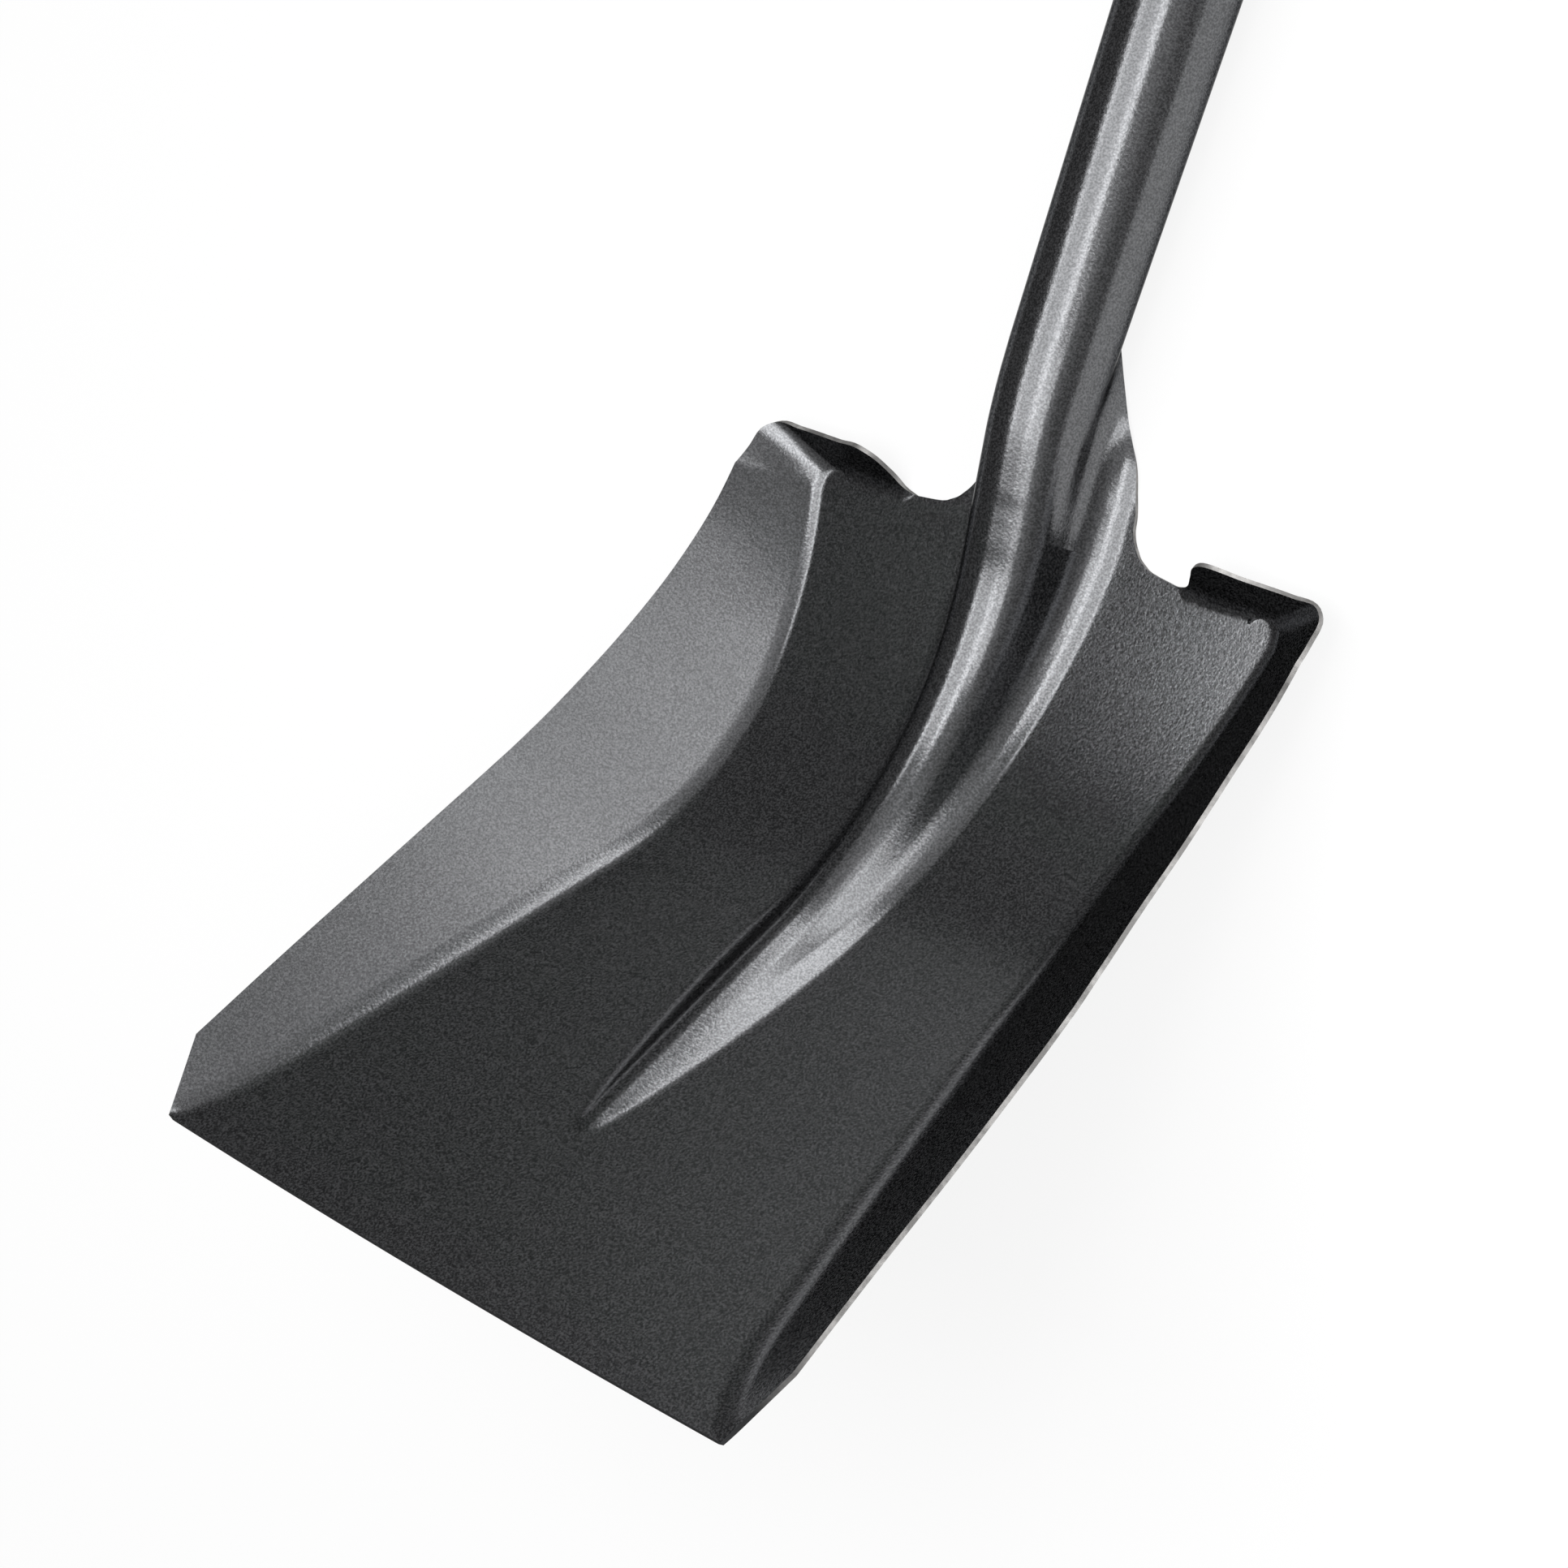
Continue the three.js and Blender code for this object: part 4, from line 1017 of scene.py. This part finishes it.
class SHOVEL_OT_socket_rivets(bpy.types.Operator):
    """Adds the two rivets through the socket, from side to side."""

    bl_idname = "shovel.socket_rivets"
    bl_label = "Socket Rivets"

    def execute(self, context):
        place = Layout(context.scene)
        h = place.h
        insets = (("socket_rivet_lower", h.lower_rivet_inset), ("socket_rivet_upper", h.upper_rivet_inset))
        for name, inset in insets:
            along = place.top - inset
            half = place.tube_radius(along) + h.clearance
            sizes = (h.socket_rivet_radius, h.socket_rivet_head, h.socket_rivet_rise)
            add_pin(name, *sizes, half, place.across_axis(along))
        return {"FINISHED"}


class SHOVEL_OT_yoke_rivets(bpy.types.Operator):
    """Adds the two rivets through the yoke's neck, from front to back."""

    bl_idname = "shovel.yoke_rivets"
    bl_label = "Yoke Rivets"

    def execute(self, context):
        place = Layout(context.scene)
        h = place.h
        neck = h.yoke_length - h.fork_start
        for name, share in YOKE_RIVET_SHARES:
            before = h.fork_start + neck * share
            half = h.tenon_radius + 2 * h.clearance + h.yoke_sheet
            matrix = place.on_axis(place.grip_axis - before) @ Matrix.Rotation(math.pi / 2, 4, "X")
            add_pin(name, h.yoke_rivet_radius, h.yoke_rivet_head, h.yoke_rivet_rise, half, matrix)
        return {"FINISHED"}


def yoke_arm(h, side, steps=90, around=28):
    """Half of an arm. Its centre line spreads by a smooth step, and its section is a flattened oval whose
    power falls as it leaves the neck. Over the eye the depth follows a circle."""
    gap = h.clearance / 2
    share = np.linspace(0, 1, steps)
    straight = share[: steps * 3 // 4] / share[steps * 3 // 4 - 1]
    eye = np.linspace(0, 1, steps // 4 + 1)[1:]
    along = np.concatenate([-h.fork_start * (1 - straight), h.eye_radius * np.sin(eye * np.pi / 2)])
    spread = smoothstep(along, -h.fork_start, -h.fork_start + h.fork_run)
    slant = np.hypot(1, h.yoke_half_width / h.fork_run * 6 * spread * (1 - spread))
    reach = np.maximum(along, 0) / h.eye_radius
    cap = np.sqrt(np.maximum(1 - reach**2, EYE_TIP_DEPTH))
    width = h.arm_half_width * slant * np.maximum(1 - reach**4, EYE_TIP_WIDTH) ** 0.25
    swell = smoothstep(along, -2 * h.eye_radius, 0)
    depth = (h.arm_half_depth + (h.eye_radius - h.arm_half_depth) * swell) * cap
    power = 1 / (1 + spread)
    turn = np.linspace(-np.pi / 2, np.pi / 2, around + 1)

    def bulge(value):
        """The value's size raised to the section's power, with its sign kept."""
        return np.sign(value) * np.abs(value) ** power[:, None]

    x = side * h.yoke_half_width * spread[:, None] + width[:, None] * bulge(np.sin(turn)[None, :])
    z = gap + np.maximum(depth[:, None] * bulge(np.cos(turn)[None, :]) - gap, 0)
    return np.stack(np.broadcast_arrays(x, along[:, None], z), axis=-1)


def yoke_neck(h, around=40, rows=12, end_rows=14):
    """Half of the neck's sleeve: a half circle swept along it, which shrinks to a rounded end."""
    radius = h.tenon_radius + h.clearance + h.yoke_sheet
    shoulder = -h.fork_start + h.arm_half_depth
    turn = np.linspace(0, np.pi / 2, end_rows)
    along = np.concatenate([
        np.linspace(-h.yoke_length, -h.fork_start, rows)[:-1],
        -h.fork_start + (shoulder + h.fork_start) * np.sin(turn),
    ])
    size = np.concatenate([np.full(rows - 1, radius), radius * np.maximum(np.cos(turn), NECK_TIP)])
    angle = np.linspace(-np.pi / 2, np.pi / 2, around + 1)
    gap = h.clearance / 2
    x = size[:, None] * np.sin(angle)
    z = gap + np.maximum(size[:, None] * np.cos(angle) - gap, 0)
    return np.stack(np.broadcast_arrays(x, along[:, None], z), axis=-1)


class SHOVEL_OT_yoke(bpy.types.Operator):
    """Adds the two pressed halves of the grip's yoke."""

    bl_idname = "shovel.yoke"
    bl_label = "Yoke"

    def execute(self, context):
        place = Layout(context.scene)
        h = place.h
        shells = [yoke_neck(h), yoke_arm(h, 1), yoke_arm(h, -1)]
        matrix = place.on_axis(place.grip_axis)
        for name, side in (("yoke_front", 1), ("yoke_back", -1)):
            grids = [moved(g * [1, 1, side] * MM, matrix) for g in shells]
            grids = [g[:, ::side] for g in grids]
            piece = make_object(name + "_shell", grids, steel_materials())
            sheet_metal(piece, h.yoke_sheet)
            settle(piece, "lacquered_steel", name)
        return {"FINISHED"}


class SHOVEL_OT_crosspiece(bpy.types.Operator):
    """Adds the turned timber bar that the hand holds."""

    bl_idname = "shovel.crosspiece"
    bl_label = "Crosspiece"

    def execute(self, context):
        place = Layout(context.scene)
        h = place.h
        chamfer = GRIP_CHAMFER
        end = h.yoke_half_width + h.arm_half_width - h.yoke_sheet - h.grip_seat
        swell = h.yoke_half_width - h.arm_half_width - chamfer
        share = np.linspace(-1, 1, 41)
        barrel = np.stack([h.grip_radius + h.grip_swell * (1 - share**2), swell * share], axis=1)
        hole = h.rod_radius + h.clearance
        profile = np.concatenate([
            [[hole, -end], [h.grip_radius - chamfer, -end], [h.grip_radius, chamfer - end]],
            barrel,
            [[h.grip_radius, end - chamfer], [h.grip_radius - chamfer, end], [hole, end], [hole, -end]],
        ])
        matrix = place.across_axis(place.grip_axis)
        shift = (matrix.translation.y + GRIP_GRAIN_SHIFT[0], *GRIP_GRAIN_SHIFT[1:])
        wood = timber_material("varnished_ash_grip", math.pi / 2, shift)
        piece = turned("timber_crosspiece", profile, matrix, [wood])
        settle(piece, "timber", "grip_crosspiece")
        return {"FINISHED"}


class SHOVEL_OT_rod(bpy.types.Operator):
    """Adds the rod through the crosspiece and its two washers."""

    bl_idname = "shovel.rod"
    bl_label = "Rod and Washers"

    def execute(self, context):
        place = Layout(context.scene)
        h = place.h
        face = h.yoke_half_width + h.arm_half_width + h.clearance
        matrix = place.across_axis(place.grip_axis)
        half = face + h.washer_thickness + h.clearance
        add_pin("grip_rod", h.rod_radius, h.rod_head_radius, h.rod_head_rise, half, matrix)
        hole = h.rod_radius + h.clearance
        for name, side in (("grip_washer_right", 1), ("grip_washer_left", -1)):
            low, high = sorted((side * face, side * (face + h.washer_thickness)))
            ring = [(hole, low), (h.washer_radius, low), (h.washer_radius, high), (hole, high), (hole, low)]
            piece = turned(name + "_ring", rounded(ring, WASHER_ROUND, 3), matrix, [zinc()], PIN_STEPS)
            settle(piece, "rivet_steel", name)
        return {"FINISHED"}


class SHOVEL_OT_stage(bpy.types.Operator):
    """Adds the floor, the soft lights and the camera."""

    bl_idname = "shovel.stage"
    bl_label = "Stage"

    def execute(self, context):
        scene = context.scene
        scene.view_settings.view_transform = "Standard"
        floor_mesh = bpy.data.meshes.new("studio_floor")
        corners = [(x * FLOOR_REACH, y * FLOOR_REACH, 0) for x, y in ((-1, -1), (1, -1), (1, 1), (-1, 1))]
        floor_mesh.from_pydata(corners, [], [(0, 1, 2, 3)])
        floor = bpy.data.objects.new("studio_floor", floor_mesh)
        scene.collection.objects.link(floor)
        floor_mesh.materials.append(floor_material(scene.shovel_finish))
        studio_world(scene)
        studio_lights(scene)
        studio_camera(scene)
        return {"FINISHED"}


def floor_material(finish):
    """Pale floor that the camera and reflections see nearly white, with a soft shadow left in it."""
    made, tree, shader = material("pale_floor")
    wire(tree, shader, Base_Color=(*finish.floor, 1), Roughness=0.9)
    glow = node(tree, "ShaderNodeEmission", Color=(1, 1, 1, 1), Strength=1.0)
    rays = node(tree, "ShaderNodeLightPath").outputs
    seen = maths(tree, "ADD", rays["Is Camera Ray"], rays["Is Glossy Ray"])
    shown = maths(tree, "ADD", seen, rays["Is Transmission Ray"], clamp=True)
    mix = tree.nodes.new("ShaderNodeMixShader")
    parts = (maths(tree, "MULTIPLY", shown, FLOOR_WHITE), shader.outputs[0], glow.outputs[0])
    for socket, part in zip(mix.inputs, parts):
        tree.links.new(part, socket)
    wire(tree, tree.nodes["Material Output"], Surface=mix.outputs[0])
    return made


def studio_world(scene):
    """A soft room that is dim on the left and brighter on the right."""
    world = bpy.data.worlds.new("soft_room")
    scene.world = world
    world.use_nodes = True
    tree = world.node_tree
    place = node(tree, "ShaderNodeTexCoord").outputs["Generated"]
    across = node(tree, "ShaderNodeSeparateXYZ", Vector=place).outputs["X"]
    room = ramp(tree, ROOM_STOPS, mapped(tree, across, -1.0, 1.0))
    wire(tree, tree.nodes["Background"], Color=room, Strength=1.0)


def studio_lights(scene):
    """Rectangular soft boxes. A box's power is its brightness times its area times pi."""
    for name, at, target, size, brightness in SOFT_BOXES:
        data = bpy.data.lights.new(name, "AREA")
        data.shape = "RECTANGLE"
        data.size, data.size_y = size
        data.energy = brightness * size[0] * size[1] * math.pi
        lamp = bpy.data.objects.new(name, data)
        scene.collection.objects.link(lamp)
        lamp.location = at
        lamp.visible_camera = False
        up = "Y" if at[2] > OVERHEAD else "Z"
        lamp.rotation_euler = (Vector(target) - Vector(at)).to_track_quat("-Z", up).to_euler()


def studio_camera(scene):
    """An 85 mm lens above the right side, where the photograph was taken."""
    data = bpy.data.cameras.new("photo_view")
    data.sensor_width = 36.0
    data.sensor_fit = "HORIZONTAL"
    data.lens = 85.0
    data.clip_start = 0.01
    data.clip_end = 60.0
    camera = bpy.data.objects.new("photo_view", data)
    scene.collection.objects.link(camera)
    at = Vector(CAMERA_AT) + Vector((0, Layout(scene).shift, 0))
    axes = Matrix((CAMERA_RIGHT, CAMERA_UP, CAMERA_BACK)).transposed()
    camera.matrix_world = Matrix.Translation(at * MM) @ axes.to_4x4()
    scene.camera = camera


class SHOVEL_PT_panel(bpy.types.Panel):
    """Buttons for the shovel's pieces and its stage."""

    bl_idname = "SHOVEL_PT_panel"
    bl_label = "Square Mouth Shovel"
    bl_space_type = "VIEW_3D"
    bl_region_type = "UI"
    bl_category = "Shovel"

    def draw(self, context):
        for operator in OPERATORS:
            self.layout.operator(operator.bl_idname)
        for group in (context.scene.shovel_blade, context.scene.shovel_handle, context.scene.shovel_finish):
            column = self.layout.box().column()
            for name in group.bl_rna.properties.keys():
                if name not in ("rna_type", "name"):
                    column.prop(group, name)


OPERATORS = (
    SHOVEL_OT_blade,
    SHOVEL_OT_shaft,
    SHOVEL_OT_socket_rivets,
    SHOVEL_OT_yoke,
    SHOVEL_OT_yoke_rivets,
    SHOVEL_OT_crosspiece,
    SHOVEL_OT_rod,
    SHOVEL_OT_stage,
)
GROUPS = (ShovelBladeSizes, ShovelHandleSizes, ShovelFinish)


def register():
    """Adds the classes and the scene's three groups of properties."""
    for kind in (*GROUPS, *OPERATORS, SHOVEL_PT_panel):
        bpy.utils.register_class(kind)
    bpy.types.Scene.shovel_blade = PointerProperty(type=ShovelBladeSizes)
    bpy.types.Scene.shovel_handle = PointerProperty(type=ShovelHandleSizes)
    bpy.types.Scene.shovel_finish = PointerProperty(type=ShovelFinish)


def unregister():
    """Takes them away again."""
    del bpy.types.Scene.shovel_blade
    del bpy.types.Scene.shovel_handle
    del bpy.types.Scene.shovel_finish
    for kind in reversed((*GROUPS, *OPERATORS, SHOVEL_PT_panel)):
        bpy.utils.unregister_class(kind)


def main():
    register()
    bpy.ops.shovel.stage()
    bpy.ops.shovel.blade()
    bpy.ops.shovel.shaft()
    bpy.ops.shovel.socket_rivets()
    bpy.ops.shovel.yoke()
    bpy.ops.shovel.yoke_rivets()
    bpy.ops.shovel.crosspiece()
    bpy.ops.shovel.rod()


if __name__ == "__main__":
    main()
